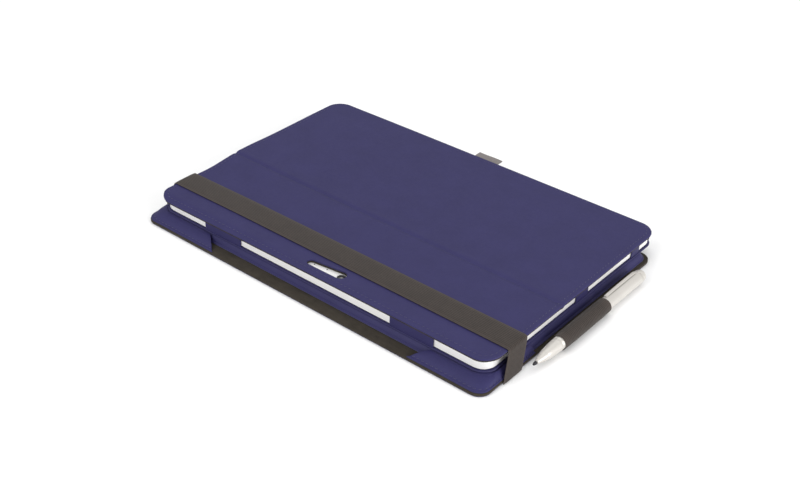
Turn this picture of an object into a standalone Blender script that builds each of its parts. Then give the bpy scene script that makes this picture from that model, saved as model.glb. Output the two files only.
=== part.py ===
"""Tablet keyboard case, closed and lying face down with its back panel up.

X runs along the long edges, Y from the free edge to the hinge edge and Z up. The origin is on the
underside of the front cover, below the middle of the tablet. The front cover with its keyboard is
the fixed part; the tablet unit swings up on the spine, and the kick flap opens out of its back.
"""

import math

import bmesh
import bpy
from mathutils import Vector

MM = 0.001

# Tablet, face down: bottom is the screen side, top is its back
TABLET_X = 292.0
TABLET_Y = 201.4
TABLET_R = 10.0
TABLET_Z = (9.6, 18.0)
SHELL_WALL = 1.6
SHELL_DEPTH = 5.8
SHELL_FRONT_EDGE = 0.4
SHELL_BACK_EDGE = 0.8
RECESS_GAP = 0.3
TABLET_PART_Z = 1.2
BATTERY_THICK = 3.8
CIRCUIT_THICK = 1.4
TABLET_BATTERY = (-110.0, 110.0, -20.0, 85.0)
TABLET_CIRCUIT = (-125.0, 125.0, -88.0, -26.0)
KICK_X = 275.0
KICK_Z = (16.6, 17.9)

# Leatherette frame around the screen, and the clips that hold the tablet in it
FRAME_Z = (8.4, 9.3)
FRAME_LIP = 1.6
FRAME_OPENING = (262.0, 178.0)
CLIP_Z = (9.6, 18.6)
CLIP_WALL = 0.9
CLIP_GAP = 0.25
CLIP_REACH = 4.0
CLIP_HOOK = 0.35
NEAR_CLIPS = {"near_left": (-101.0, -65.0), "near_right": (70.5, 106.0)}
SIDE_CLIPS = {"mid": (-1.5, 13.5), "far": (69.5, 80.0)}

# Back panel in two sections, hinged at the crease
PANEL_HALF_X = 150.0
PANEL_NEAR = -103.8
PANEL_FAR = 99.0
PANEL_R = 13.0
PANEL_Z = (19.5, 21.0)
PANEL_LINING_Z = (18.9, 19.3)
PANEL_EDGE = 0.5
LINING_INSET = 0.8
STRIP_Z = (20.2, 21.0)
TAB_HALF_X = 10.5
TAB_LENGTH = 7.0
TAB_Z = (18.9, 20.1)
CREASE_Y = -22.8
CREASE_Z = 20.6
CREASE_GAP = 5.0
CAMERA_SLOT = ((-4.2, -94.3, 2.9), (20.8, -92.6, 4.3))
LENS = (21.0, -91.8)
LENS_R = 3.2
LENS_Z = (16.9, 18.25)

# Front cover, under everything
COVER_HALF_X = 153.0
COVER_NEAR = -114.0
COVER_FAR = 91.0
COVER_R = 9.0
COVER_RIM_Z = 2.6
COVER_RIM = 1.2

# Keyboard and the padded surround that carries it
SURROUND_LOW = (150.0, -104.4, 88.6)
SURROUND_TOP = (147.0, -101.4, 86.6)
SURROUND_Z = (2.9, 8.1)
KEYBOARD_HALF_X = 138.6
KEYBOARD_Y = (-91.6, 79.6)
DECK_Z = (6.6, 7.2)
KEY_TOP = 8.0
WEB_Z = (5.5, 6.3)
KEY_PITCH = 18.6
KEY_GAP = 2.4
KEY_TAPER = 0.5
WEB_MARGIN = 0.8
SLOT_GAP = 0.3
KEY_ROWS = {
    "key_row_function": (70.5, 9.0, [14.6 / 14] * 14),
    "key_row_number": (55.6, 16.2, [1.0] * 13 + [1.6]),
    "key_row_upper": (37.0, 16.2, [1.5] + [1.0] * 12 + [1.1]),
    "key_row_home": (18.4, 16.2, [1.75] + [1.0] * 11 + [1.85]),
    "key_row_lower": (-0.2, 16.2, [2.25] + [1.0] * 10 + [2.35]),
    "key_row_left": (-18.8, 16.2, [1.0, 1.0, 1.0, 1.3]),
    "space_bar": (-18.8, 16.2, [5.3]),
    "key_row_right": (-18.8, 16.2, [1.0] * 5),
}
ROW_START = {"space_bar": 4.3, "key_row_right": 9.6}
ROW_UNITS = 14.6
TOUCHPAD = (-50.0, 50.0, -84.0, -33.0)
TOUCHPAD_Z = (6.3, 7.5)
BASE_Z = (2.9, 6.4)
BASE_WALL = 1.0
BASE_FLOOR = 0.6
KEYBOARD_CIRCUIT = (-136.0, 136.0, -30.0, 76.5, 3.7, 3.95)
DOME_SHEET = (-136.0, 136.0, -29.0, 76.5, 4.1, 4.4)
KEYBOARD_BATTERY = (-130.0, -60.0, -84.0, -36.0, 3.7, 6.0)

# Spine between the cover's far edge and the tablet frame's far edge
SPINE_HALF_X = 143.0
COVER_HINGE = (91.3, 1.6)
TABLET_HINGE = (101.8, 8.6)
SPINE_THICK = 0.9

# Closing strap and stylus
STRAP_WIDTH = 19.8
STRAP_THICK = 0.9
STRAP_TOP_Y = -75.3
STRAP_FOOT_Y = -83.0
STYLUS = (159.9, 5.75)
STYLUS_R = 4.6
STYLUS_Y = (-70.0, 63.0)
LOOP_Y = (-40.5, 14.0)
LOOP_R = (4.85, 5.55)

COLOURS = {
    "navy leatherette": ((0.055, 0.05, 0.17), 0.55, 0.0),
    "brown microfibre": ((0.07, 0.06, 0.055), 0.95, 0.0),
    "grey board": ((0.35, 0.33, 0.3), 0.9, 0.0),
    "brown elastic": ((0.065, 0.058, 0.05), 0.9, 0.0),
    "silver metal": ((0.78, 0.78, 0.8), 0.35, 1.0),
    "dark glass": ((0.01, 0.01, 0.012), 0.1, 0.0),
    "black plastic": ((0.025, 0.025, 0.028), 0.45, 0.0),
    "grey webbing": ((0.42, 0.41, 0.4), 0.85, 0.0),
    "circuit green": ((0.02, 0.12, 0.05), 0.5, 0.0),
}


def material(colour):
    existing = bpy.data.materials.get(colour)
    if existing:
        return existing
    made = bpy.data.materials.new(colour)
    made.use_nodes = True
    shader = made.node_tree.nodes["Principled BSDF"]
    tint, roughness, metallic = COLOURS[colour]
    shader.inputs["Base Color"].default_value = (*tint, 1.0)
    shader.inputs["Roughness"].default_value = roughness
    shader.inputs["Metallic"].default_value = metallic
    return made


def finish(bm, name, colour, pivot=(0.0, 0.0, 0.0), smooth=False):
    """Turn a bmesh built in millimetres into an object with its origin at pivot."""
    origin = Vector(pivot)
    bmesh.ops.translate(bm, verts=bm.verts[:], vec=-origin)
    bmesh.ops.scale(bm, verts=bm.verts[:], vec=(MM, MM, MM))
    bmesh.ops.recalc_face_normals(bm, faces=bm.faces[:])
    mesh = bpy.data.meshes.new(name)
    bm.to_mesh(mesh)
    bm.free()
    if smooth:
        mesh.shade_smooth()
        mesh.set_sharp_from_angle(angle=math.radians(35.0))
    obj = bpy.data.objects.new(name, mesh)
    obj.location = origin * MM
    mesh.materials.append(material(colour))
    bpy.context.scene.collection.objects.link(obj)
    return obj


def cut(obj, cutter):
    """Subtract the cutter from the object with a live Boolean."""
    cutter.hide_render = True
    cutter.display_type = "WIRE"
    modifier = obj.modifiers.new("cut", "BOOLEAN")
    modifier.operation = "DIFFERENCE"
    modifier.object = cutter
    modifier.solver = "EXACT"


def outline(x0, x1, y0, y1, radii, steps=6):
    """Counter-clockwise rectangle; radii are for the near-left, near-right, far-right, far-left corners."""
    corners = [(x0, y0, 1, 1, 180), (x1, y0, -1, 1, 270), (x1, y1, -1, -1, 0), (x0, y1, 1, -1, 90)]
    points = []
    for (cx, cy, sx, sy, start), radius in zip(corners, radii):
        if radius <= 0.0:
            points.append((cx, cy))
            continue
        for step in range(steps + 1):
            angle = math.radians(start + 90.0 * step / steps)
            points.append((cx + sx * radius + radius * math.cos(angle), cy + sy * radius + radius * math.sin(angle)))
    return points


def add_loop(bm, points, z):
    verts = [bm.verts.new((x, y, z)) for x, y in points]
    edges = [bm.edges.new((verts[i], verts[(i + 1) % len(verts)])) for i in range(len(verts))]
    return verts, edges


def stack(loops, closed_ring=False):
    """Bridge loops of (points, z) in order; cap the ends, or join last to first to make a ring."""
    bm = bmesh.new()
    made = [add_loop(bm, points, z) for points, z in loops]
    pairs = list(zip(made, made[1:]))
    if closed_ring:
        pairs.append((made[-1], made[0]))
    for (verts_a, _), (verts_b, _) in pairs:
        count = len(verts_a)
        for i in range(count):
            j = (i + 1) % count
            bm.faces.new((verts_a[i], verts_a[j], verts_b[j], verts_b[i]))
    if not closed_ring:
        bm.faces.new(made[0][0])
        bm.faces.new(made[-1][0])
    return bm


def join_sections(bm, sections):
    """Walls between each section of vertices and the next, with both ends closed."""
    for first, second in zip(sections, sections[1:]):
        for i in range(len(first)):
            j = (i + 1) % len(first)
            bm.faces.new((first[i], first[j], second[j], second[i]))
    bm.faces.new(sections[0])
    bm.faces.new(sections[-1])


def box(x0, x1, y0, y1, z0, z1):
    bm = bmesh.new()
    bmesh.ops.create_cube(bm, size=1.0)
    bmesh.ops.scale(bm, verts=bm.verts[:], vec=(x1 - x0, y1 - y0, z1 - z0))
    bmesh.ops.translate(bm, verts=bm.verts[:], vec=((x0 + x1) / 2, (y0 + y1) / 2, (z0 + z1) / 2))
    return bm


def centred(half_x, y0, y1, radius, inset=0.0, steps=6):
    """Outline centred on X with all four corners rounded, drawn in by inset."""
    r = max(radius - inset, 0.6)
    return outline(-half_x + inset, half_x - inset, y0 + inset, y1 - inset, [r] * 4, steps)


def tablet_outline(offset, steps=6):
    return centred(TABLET_X / 2, -TABLET_Y / 2, TABLET_Y / 2, TABLET_R, -offset, steps)


def extrude_profile(points_yz, x0, x1, name, colour, pivot=(0.0, 0.0, 0.0)):
    """Extrude a closed YZ profile along X."""
    bm = bmesh.new()
    verts = [bm.verts.new((x0, y, z)) for y, z in points_yz]
    face = bm.faces.new(verts)
    swept = bmesh.ops.extrude_face_region(bm, geom=[face])
    moved = [item for item in swept["geom"] if isinstance(item, bmesh.types.BMVert)]
    bmesh.ops.translate(bm, verts=moved, vec=(x1 - x0, 0.0, 0.0))
    return finish(bm, name, colour, pivot)


def turned(profile, name, colour, centre, smooth=True, steps=20):
    """Spin (radius, y) points about an axis along Y; the first and last radius are 0."""
    bm = bmesh.new()
    verts = [bm.verts.new((radius, y, 0.0)) for radius, y in profile]
    edges = [bm.edges.new(pair) for pair in zip(verts, verts[1:])]
    bmesh.ops.spin(bm, geom=verts + edges, cent=(0, 0, 0), axis=(0, 1, 0), angle=2 * math.pi, steps=steps,
                   use_merge=True)
    bmesh.ops.remove_doubles(bm, verts=bm.verts[:], dist=0.001)
    bmesh.ops.translate(bm, verts=bm.verts[:], vec=(centre[0], 0.0, centre[1]))
    return finish(bm, name, colour, smooth=smooth)


def make_front_cover():
    far, near = COVER_FAR, COVER_NEAR
    edge = 0.5
    skin = stack([
        (centred(COVER_HALF_X, near, far, COVER_R, edge), 0.0),
        (centred(COVER_HALF_X, near, far, COVER_R), edge),
        (centred(COVER_HALF_X, near, far, COVER_R), COVER_RIM_Z - edge),
        (centred(COVER_HALF_X, near, far, COVER_R, edge), COVER_RIM_Z),
        (centred(COVER_HALF_X, near, far, COVER_R, COVER_RIM), COVER_RIM_Z),
        (centred(COVER_HALF_X, near, far, COVER_R, COVER_RIM), 0.7),
    ])
    finish(skin, "front_cover_skin", "navy leatherette")
    board_in = COVER_RIM + 0.4
    board = centred(COVER_HALF_X, near, far, COVER_R, board_in)
    finish(stack([(board, 1.0), (board, 1.9)]), "front_cover_board", "grey board")
    lining = centred(COVER_HALF_X, near, far, COVER_R, COVER_RIM + 0.3)
    finish(stack([(lining, 2.1), (lining, 2.6)]), "front_cover_lining", "brown microfibre")


def make_surround():
    low_x, low_near, low_far = SURROUND_LOW
    top_x, top_near, top_far = SURROUND_TOP
    z0, z1 = SURROUND_Z
    hole = centred(KEYBOARD_HALF_X + 0.4, KEYBOARD_Y[0] - 0.4, KEYBOARD_Y[1] + 0.4, 2.0)
    ring = stack([
        (hole, z0),
        (centred(low_x, low_near, low_far, 9.0), z0),
        (centred(low_x, low_near, low_far, 9.0), z0 + 0.8),
        (centred(top_x, top_near, top_far, 8.0), z1 - 0.6),
        (centred(top_x, top_near, top_far, 8.0, 1.0), z1),
        (hole, z1),
    ], closed_ring=True)
    finish(ring, "keyboard_surround", "navy leatherette")


def pocket_station(side, kind, value):
    """Foot and head points of the pocket's slope, seen from above, at one place along its run."""
    foot_x, foot_y, foot_r = COVER_HALF_X - 0.8, COVER_NEAR + 0.8, COVER_R - 0.8
    head_x, head_y = TABLET_X / 2 + 2.0, -TABLET_Y / 2 - 2.0
    head_r = TABLET_R + 2.0
    if kind == "near":
        foot_end, head_end = value
        return (foot_end, foot_y), (head_end, head_y)
    if kind == "side":
        return (side * foot_x, value), (side * head_x, value)
    angle = math.radians(270.0 + value)
    foot = (foot_x - foot_r + foot_r * math.cos(angle), foot_y + foot_r + foot_r * math.sin(angle))
    head = (head_x - head_r + head_r * math.cos(angle), head_y + head_r + head_r * math.sin(angle))
    return (side * foot[0], foot[1]), (side * head[0], head[1])


def make_pocket(side, name, foot_end, head_end, side_end):
    """Corner pocket: one leatherette slope from the cover's rim up to the tablet's edge."""
    stations = [("near", (foot_end, head_end))]
    stations += [("corner", 90.0 * i / 6) for i in range(7)]
    stations.append(("side", side_end))
    foot_z = (2.9, 3.5)
    head_z = (7.5, 8.3)
    bm = bmesh.new()
    sections = []
    for kind, value in stations:
        foot, head = pocket_station(side, kind, value)
        section = [(*foot, foot_z[0]), (*foot, foot_z[1]), (*head, head_z[1]), (*head, head_z[0])]
        sections.append([bm.verts.new(co) for co in section])
    join_sections(bm, sections)
    finish(bm, name, "navy leatherette")


def key_columns(name, units):
    """Left and right X of each key in a row."""
    x = (-ROW_UNITS / 2 + ROW_START.get(name, 0.0)) * KEY_PITCH
    spans = []
    for unit in units:
        width = unit * KEY_PITCH
        spans.append((x + KEY_GAP / 2, x + width - KEY_GAP / 2))
        x += width
    return spans


def make_key_row(name, middle_y, depth, units):
    """Keycaps standing on one web that runs under the deck, as a single body."""
    spans = key_columns(name, units)
    xs = [spans[0][0] - WEB_MARGIN]
    for left, right in spans:
        xs += [left, right]
    xs.append(spans[-1][1] + WEB_MARGIN)
    y_low, y_high = middle_y - depth / 2, middle_y + depth / 2
    ys = [y_low - WEB_MARGIN, y_low, y_high, y_high + WEB_MARGIN]
    bm = bmesh.new()
    grid = [[bm.verts.new((x, y, WEB_Z[1])) for y in ys] for x in xs]
    for i in range(len(xs) - 1):
        for j in range(len(ys) - 1):
            bm.faces.new((grid[i][j], grid[i + 1][j], grid[i + 1][j + 1], grid[i][j + 1]))
    under = bmesh.ops.extrude_face_region(bm, geom=bm.faces[:])
    lowered = [item for item in under["geom"] if isinstance(item, bmesh.types.BMVert)]
    bmesh.ops.translate(bm, verts=lowered, vec=(0, 0, WEB_Z[0] - WEB_Z[1]))
    caps = [face for face in bm.faces if face.calc_center_median().z > WEB_Z[1] - 0.01]
    caps = [face for face in caps if is_keycap(face.calc_center_median(), spans, ys)]
    raised = bmesh.ops.extrude_discrete_faces(bm, faces=caps)
    for face in raised["faces"]:
        bmesh.ops.translate(bm, verts=face.verts[:], vec=(0, 0, KEY_TOP - WEB_Z[1]))
        middle = face.calc_center_median()
        for vert in face.verts:
            vert.co.x += math.copysign(KEY_TAPER, middle.x - vert.co.x)
            vert.co.y += math.copysign(KEY_TAPER, middle.y - vert.co.y)
    finish(bm, name, "black plastic")


def is_keycap(point, spans, ys):
    in_row = ys[1] < point.y < ys[2]
    return in_row and any(left < point.x < right for left, right in spans)


def make_keyboard():
    floor_z, rim_z = BASE_Z
    outside = centred(KEYBOARD_HALF_X, *KEYBOARD_Y, 2.0, 0.0, 2)
    inside = centred(KEYBOARD_HALF_X, *KEYBOARD_Y, 2.0, BASE_WALL, 2)
    base = stack([(outside, floor_z), (outside, rim_z), (inside, rim_z), (inside, floor_z + BASE_FLOOR)])
    finish(base, "keyboard_base", "black plastic")
    deck = finish(stack([(outside, DECK_Z[0]), (outside, DECK_Z[1])]), "keyboard_deck", "black plastic")
    slots = []
    half = ROW_UNITS / 2 * KEY_PITCH - KEY_GAP / 2 + SLOT_GAP
    for name, (middle_y, depth, _) in KEY_ROWS.items():
        if name not in ROW_START:
            slots.append((-half, half, middle_y - depth / 2 - SLOT_GAP, middle_y + depth / 2 + SLOT_GAP))
    left, right, low, high = TOUCHPAD
    slots.append((left - SLOT_GAP, right + SLOT_GAP, low - SLOT_GAP, high + SLOT_GAP))
    for number, (left, right, low, high) in enumerate(slots):
        opening = box(left, right, low, high, DECK_Z[0] - 1.0, DECK_Z[1] + 1.0)
        cut(deck, finish(opening, f"slot_cutter_{number}", "grey board"))
    for name, (middle_y, depth, units) in KEY_ROWS.items():
        make_key_row(name, middle_y, depth, units)
    finish(box(*TOUCHPAD, *TOUCHPAD_Z), "touchpad", "black plastic")
    finish(box(*KEYBOARD_CIRCUIT), "keyboard_circuit", "circuit green")
    finish(box(*DOME_SHEET), "dome_sheet", "black plastic")
    finish(box(*KEYBOARD_BATTERY), "keyboard_battery", "grey board")


def make_spine():
    y0, z0 = COVER_HINGE
    y1, z1 = TABLET_HINGE
    along = Vector((y1 - y0, z1 - z0)).normalized()
    across = Vector((-along.y, along.x)) * SPINE_THICK / 2
    low = Vector((y0, z0)) + along * 0.7
    high = Vector((y1, z1)) - along * 1.3
    profile = [low + across, low - across, high - across, high + across]
    pivot = (0.0, y0, z0)
    extrude_profile([tuple(p) for p in profile], -SPINE_HALF_X, SPINE_HALF_X, "spine", "navy leatherette", pivot)


def make_screen_frame():
    half_x, half_y = FRAME_OPENING[0] / 2, FRAME_OPENING[1] / 2
    hole = outline(-half_x, half_x, -half_y, half_y, [6.0] * 4)
    lip = tablet_outline(FRAME_LIP)
    ring = stack([
        (hole, FRAME_Z[0]),
        (tablet_outline(FRAME_LIP - 0.3), FRAME_Z[0]),
        (lip, FRAME_Z[0] + 0.3),
        (lip, FRAME_Z[1] - 0.3),
        (tablet_outline(FRAME_LIP - 0.3), FRAME_Z[1]),
        (hole, FRAME_Z[1]),
    ], closed_ring=True)
    finish(ring, "screen_frame", "navy leatherette")


def clip_profile(edge, outward):
    """Outline of a clip across the tablet's edge: a wall outside it with a hook over its back."""
    low, high = CLIP_Z
    inner, outer = edge + outward * CLIP_GAP, edge + outward * (CLIP_GAP + CLIP_WALL)
    reach, under = edge - outward * CLIP_REACH, high - CLIP_HOOK
    return [(inner, low), (outer, low), (outer, high), (reach, high), (reach, under), (inner, under)]


def make_clips():
    near_edge = -TABLET_Y / 2
    for place, (x0, x1) in NEAR_CLIPS.items():
        extrude_profile(clip_profile(near_edge, -1), x0, x1, f"clip_{place}", "navy leatherette")
    for side, hand in ((-1, "left"), (1, "right")):
        for place, (y0, y1) in SIDE_CLIPS.items():
            bm = bmesh.new()
            profile = clip_profile(side * TABLET_X / 2, side)
            face = bm.faces.new([bm.verts.new((x, y0, z)) for x, z in profile])
            swept = bmesh.ops.extrude_face_region(bm, geom=[face])
            moved = [item for item in swept["geom"] if isinstance(item, bmesh.types.BMVert)]
            bmesh.ops.translate(bm, verts=moved, vec=(0.0, y1 - y0, 0.0))
            finish(bm, f"clip_{hand}_{place}", "navy leatherette")


def make_tablet():
    z0, z1 = TABLET_Z
    shell = finish(stack([
        (tablet_outline(-SHELL_FRONT_EDGE), z0),
        (tablet_outline(0.0), z0 + SHELL_FRONT_EDGE),
        (tablet_outline(0.0), z1 - SHELL_BACK_EDGE),
        (tablet_outline(-SHELL_BACK_EDGE), z1),
    ]), "tablet_shell", "silver metal")
    inside = finish(stack([
        (tablet_outline(-SHELL_WALL), z0 - 1.0),
        (tablet_outline(-SHELL_WALL), z0 + SHELL_DEPTH),
    ]), "shell_cutter", "grey board")
    cut(shell, inside)
    recess = finish(box(-KICK_X / 2 - RECESS_GAP, KICK_X / 2 + RECESS_GAP, CREASE_Y + 0.9, TABLET_Y / 2 + 5.0,
                        KICK_Z[0] - RECESS_GAP, z1 + 1.0), "recess_cutter", "grey board")
    cut(shell, recess)
    cut(shell, make_disc("lens_cutter", LENS_R + RECESS_GAP, LENS_Z[0] - RECESS_GAP, z1 + 1.0, "grey board"))
    make_disc("tablet_camera", LENS_R, *LENS_Z, "dark glass")
    glass = tablet_outline(-SHELL_WALL - 0.25)
    finish(stack([(glass, z0), (glass, z0 + 0.8)]), "tablet_screen", "dark glass")
    low = z0 + TABLET_PART_Z
    finish(box(*TABLET_BATTERY, low, low + BATTERY_THICK), "tablet_battery", "grey board")
    finish(box(*TABLET_CIRCUIT, low, low + CIRCUIT_THICK), "tablet_circuit", "circuit green")


def make_disc(name, radius, z0, z1, colour):
    bm = bmesh.new()
    bmesh.ops.create_circle(bm, cap_ends=True, segments=20, radius=radius)
    bmesh.ops.translate(bm, verts=bm.verts[:], vec=(LENS[0], LENS[1], z0))
    swept = bmesh.ops.extrude_face_region(bm, geom=bm.faces[:])
    moved = [item for item in swept["geom"] if isinstance(item, bmesh.types.BMVert)]
    bmesh.ops.translate(bm, verts=moved, vec=(0.0, 0.0, z1 - z0))
    return finish(bm, name, colour)


def camera_slot(grow):
    """Tapered slot: the hull of a small round on the left and a larger one on the right."""
    (xa, ya, ra), (xb, yb, rb) = CAMERA_SLOT
    tilt = math.atan2(yb - ya, xb - xa)
    lean = math.asin((rb - ra) / math.hypot(xb - xa, yb - ya))
    points = []
    for x, y, radius, start in ((xa, ya, ra, 90.0), (xb, yb, rb, -90.0)):
        turn = -1 if start > 0 else 1
        sweep = 180.0 + 2 * turn * math.degrees(lean)
        first = math.radians(start) + tilt - turn * lean
        for step in range(9):
            angle = first + math.radians(sweep) * step / 8
            points.append((x + (radius + grow) * math.cos(angle), y + (radius + grow) * math.sin(angle)))
    return points


def panel_plate(name, y0, y1, radii, z_span, edge, colour, pivot, inset=0.0):
    x = PANEL_HALF_X - inset
    near_gap = inset if radii[0] else 0.0
    far_gap = inset if radii[2] else 0.0
    soft = [max(r - inset, 0.0) for r in radii]
    y0, y1 = y0 + near_gap, y1 - far_gap
    thin = [max(r - edge, 0.0) for r in soft]
    wide = outline(-x, x, y0, y1, soft)
    if edge:
        near_edge = edge if radii[0] else 0.0
        far_edge = edge if radii[2] else 0.0
        drawn = outline(-x + edge, x - edge, y0 + near_edge, y1 - far_edge, thin)
        loops = [(drawn, z_span[0]), (wide, z_span[0] + edge), (wide, z_span[1] - edge), (drawn, z_span[1])]
    else:
        loops = [(wide, z_span[0]), (wide, z_span[1])]
    return finish(stack(loops), name, colour, pivot)


def make_back_panel():
    fixed_far = CREASE_Y - CREASE_GAP / 2
    flap_near = CREASE_Y + CREASE_GAP / 2
    r = PANEL_R
    flap_pivot = (0.0, CREASE_Y, CREASE_Z)
    panel = panel_plate("back_panel", PANEL_NEAR, fixed_far, [r, r, 0, 0], PANEL_Z, PANEL_EDGE,
                        "navy leatherette", (0, 0, 0))
    lining = panel_plate("back_panel_lining", PANEL_NEAR, fixed_far, [r, r, 0, 0], PANEL_LINING_Z, 0.0,
                         "brown microfibre", (0, 0, 0), LINING_INSET)
    for target, grow in ((panel, 0.0), (lining, 0.6)):
        slot = camera_slot(grow)
        cutter = finish(stack([(slot, 17.0), (slot, 23.0)]), f"{target.name}_slot_cutter", "grey board")
        cut(target, cutter)
    panel_plate("flap_panel", flap_near, PANEL_FAR, [0, 0, r, r], PANEL_Z, PANEL_EDGE, "navy leatherette", flap_pivot)
    panel_plate("flap_lining", flap_near, PANEL_FAR, [0, 0, r, r], PANEL_LINING_Z, 0.0,
                "brown microfibre", flap_pivot, LINING_INSET)
    strip = box(-PANEL_HALF_X + 1.0, PANEL_HALF_X - 1.0, fixed_far + 0.3, flap_near - 0.3, *STRIP_Z)
    finish(strip, "crease_strip", "navy leatherette")
    kick = outline(-KICK_X / 2, KICK_X / 2, CREASE_Y + 1.3, TABLET_Y / 2 - 0.6, [1.0, 1.0, 6.0, 6.0], 3)
    finish(stack([(kick, KICK_Z[0]), (kick, KICK_Z[1])]), "kickstand", "silver metal", flap_pivot)
    tab_near = PANEL_FAR + 0.3
    tab = outline(-TAB_HALF_X, TAB_HALF_X, tab_near, tab_near + TAB_LENGTH, [0, 0, 1.0, 1.0], 3)
    finish(stack([(tab, TAB_Z[0]), (tab, TAB_Z[1])]), "pull_tab", "grey webbing", flap_pivot)


def make_strap():
    """Flat elastic from the cover's left rim, over the back panel, down to its right rim."""
    foot_x, foot_z = 153.4, 0.3
    top_x, top_z = 150.5, 21.3
    lift = top_z - foot_z
    half_run = [(foot_x, 0.0), (foot_x, 2.6 / lift), (top_x, (lift - 1.2) / lift), (top_x - 0.5, 1.0 - 0.3 / lift),
                (top_x - 1.4, 1.0)]
    path = [(-x, t) for x, t in half_run] + [(x, t) for x, t in reversed(half_run)]
    bm = bmesh.new()
    sections = []
    for index, (x, t) in enumerate(path):
        side = -1 if index < len(half_run) else 1
        z = foot_z + lift * t
        middle = STRAP_FOOT_Y + (STRAP_TOP_Y - STRAP_FOOT_Y) * t
        flat = index in (len(half_run) - 1, len(half_run))
        bend = index in (len(half_run) - 2, len(half_run) + 1)
        out_x = 0.0 if flat else side * STRAP_THICK * (0.7 if bend else 1.0)
        out_z = STRAP_THICK if flat else (0.7 * STRAP_THICK if bend else 0.0)
        near, far = middle - STRAP_WIDTH / 2, middle + STRAP_WIDTH / 2
        corners = [(x, near, z), (x + out_x, near, z + out_z), (x + out_x, far, z + out_z), (x, far, z)]
        sections.append([bm.verts.new(co) for co in corners])
    join_sections(bm, sections)
    finish(bm, "closing_strap", "brown elastic")


def make_stylus():
    y0, y1 = STYLUS_Y
    r = STYLUS_R
    barrel = [(0.0, y0 + 3.2), (1.5, y0 + 3.2), (2.1, y0 + 5.0), (3.6, y0 + 11.0), (4.3, y0 + 17.0), (r, y0 + 26.0),
              (r, y1 - 6.4), (0.0, y1 - 6.4)]
    turned(barrel, "stylus_barrel", "silver metal", STYLUS)
    nib = [(0.0, y0), (0.5, y0 + 0.1), (0.9, y0 + 0.6), (1.2, y0 + 2.9), (0.0, y0 + 2.9)]
    turned(nib, "stylus_nib", "black plastic", STYLUS, steps=12)
    button = [(0.0, y1 - 6.0), (4.4, y1 - 6.0), (4.4, y1 - 3.0), (3.6, y1 - 1.0), (2.0, y1 - 0.1), (0.0, y1)]
    turned(button, "stylus_button", "silver metal", STYLUS)
    x, z = STYLUS
    clip = bmesh.new()
    clip_x = x - 1.6
    run = [(y1 - 7.5, z + 4.65, 1.1), (y1 - 9.5, z + 5.3, 1.1), (y1 - 44.0, z + 5.5, 1.1), (y1 - 46.5, z + 5.1, 1.1)]
    sections = []
    for y, low, half in run:
        left, right, high = clip_x - half, clip_x + half, low + 0.7
        corners = [(left, y, low), (right, y, low), (right, y, high), (left, y, high)]
        sections.append([clip.verts.new(co) for co in corners])
    join_sections(clip, sections)
    finish(clip, "stylus_clip", "silver metal")


def make_loop():
    """Elastic ring around the stylus, drawn out to a tail at the cover's rim."""
    x, z = STYLUS
    steps = 24
    inner, outer = [], []
    tail = Vector((COVER_HALF_X + 0.3 - x, 1.4 - z))
    for step in range(steps):
        angle = 2 * math.pi * step / steps
        way = Vector((math.cos(angle), math.sin(angle)))
        inner.append(way * LOOP_R[0])
        near_tail = way.angle(tail) < math.radians(8.0)
        outer.append(tail if near_tail else way * LOOP_R[1])
    bm = bmesh.new()
    ends = []
    for y in LOOP_Y:
        ends.append([[bm.verts.new((x + p.x, y, z + p.y)) for p in ring] for ring in (inner, outer)])
    (inner_a, outer_a), (inner_b, outer_b) = ends
    for i in range(steps):
        j = (i + 1) % steps
        bm.faces.new((inner_a[i], inner_a[j], outer_a[j], outer_a[i]))
        bm.faces.new((inner_b[i], inner_b[j], outer_b[j], outer_b[i]))
        bm.faces.new((inner_a[i], inner_a[j], inner_b[j], inner_b[i]))
        bm.faces.new((outer_a[i], outer_a[j], outer_b[j], outer_b[i]))
    finish(bm, "stylus_loop", "brown elastic")


def main():
    for obj in list(bpy.data.objects):
        bpy.data.objects.remove(obj, do_unlink=True)
    make_front_cover()
    make_surround()
    make_pocket(-1, "corner_pocket_left", -86.5, -95.0, -56.0)
    make_pocket(1, "corner_pocket_right", 94.0, 105.0, -56.0)
    make_keyboard()
    make_spine()
    make_screen_frame()
    make_clips()
    make_tablet()
    make_back_panel()
    make_strap()
    make_loop()
    make_stylus()


main()
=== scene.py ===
"""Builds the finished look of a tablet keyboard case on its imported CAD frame."""

import math

import bmesh
import bpy
from mathutils import Matrix, Vector


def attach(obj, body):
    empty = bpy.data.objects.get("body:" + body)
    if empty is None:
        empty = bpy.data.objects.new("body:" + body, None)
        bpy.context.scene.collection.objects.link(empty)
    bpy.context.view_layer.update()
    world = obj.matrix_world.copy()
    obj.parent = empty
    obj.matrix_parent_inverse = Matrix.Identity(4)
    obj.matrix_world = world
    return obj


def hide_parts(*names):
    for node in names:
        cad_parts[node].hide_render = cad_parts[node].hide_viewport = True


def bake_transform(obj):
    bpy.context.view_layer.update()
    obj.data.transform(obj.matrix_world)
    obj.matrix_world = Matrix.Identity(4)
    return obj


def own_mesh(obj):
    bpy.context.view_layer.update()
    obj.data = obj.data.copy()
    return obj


bl_info = {
    "name": "Tablet Keyboard Case",
    "version": (1, 0, 0),
    "blender": (4, 5, 0),
    "location": "View3D > Sidebar > Case",
    "description": "Models and dresses a leatherette tablet case with a keyboard, strap and stylus",
    "category": "Add Mesh",
}

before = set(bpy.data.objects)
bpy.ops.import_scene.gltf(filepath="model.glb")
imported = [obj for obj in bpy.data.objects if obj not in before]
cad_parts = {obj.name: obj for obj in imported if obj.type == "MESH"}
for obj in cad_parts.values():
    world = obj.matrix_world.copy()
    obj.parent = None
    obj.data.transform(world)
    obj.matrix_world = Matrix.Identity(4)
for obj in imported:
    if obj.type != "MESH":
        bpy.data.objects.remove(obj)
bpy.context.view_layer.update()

MM = 0.001

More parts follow.
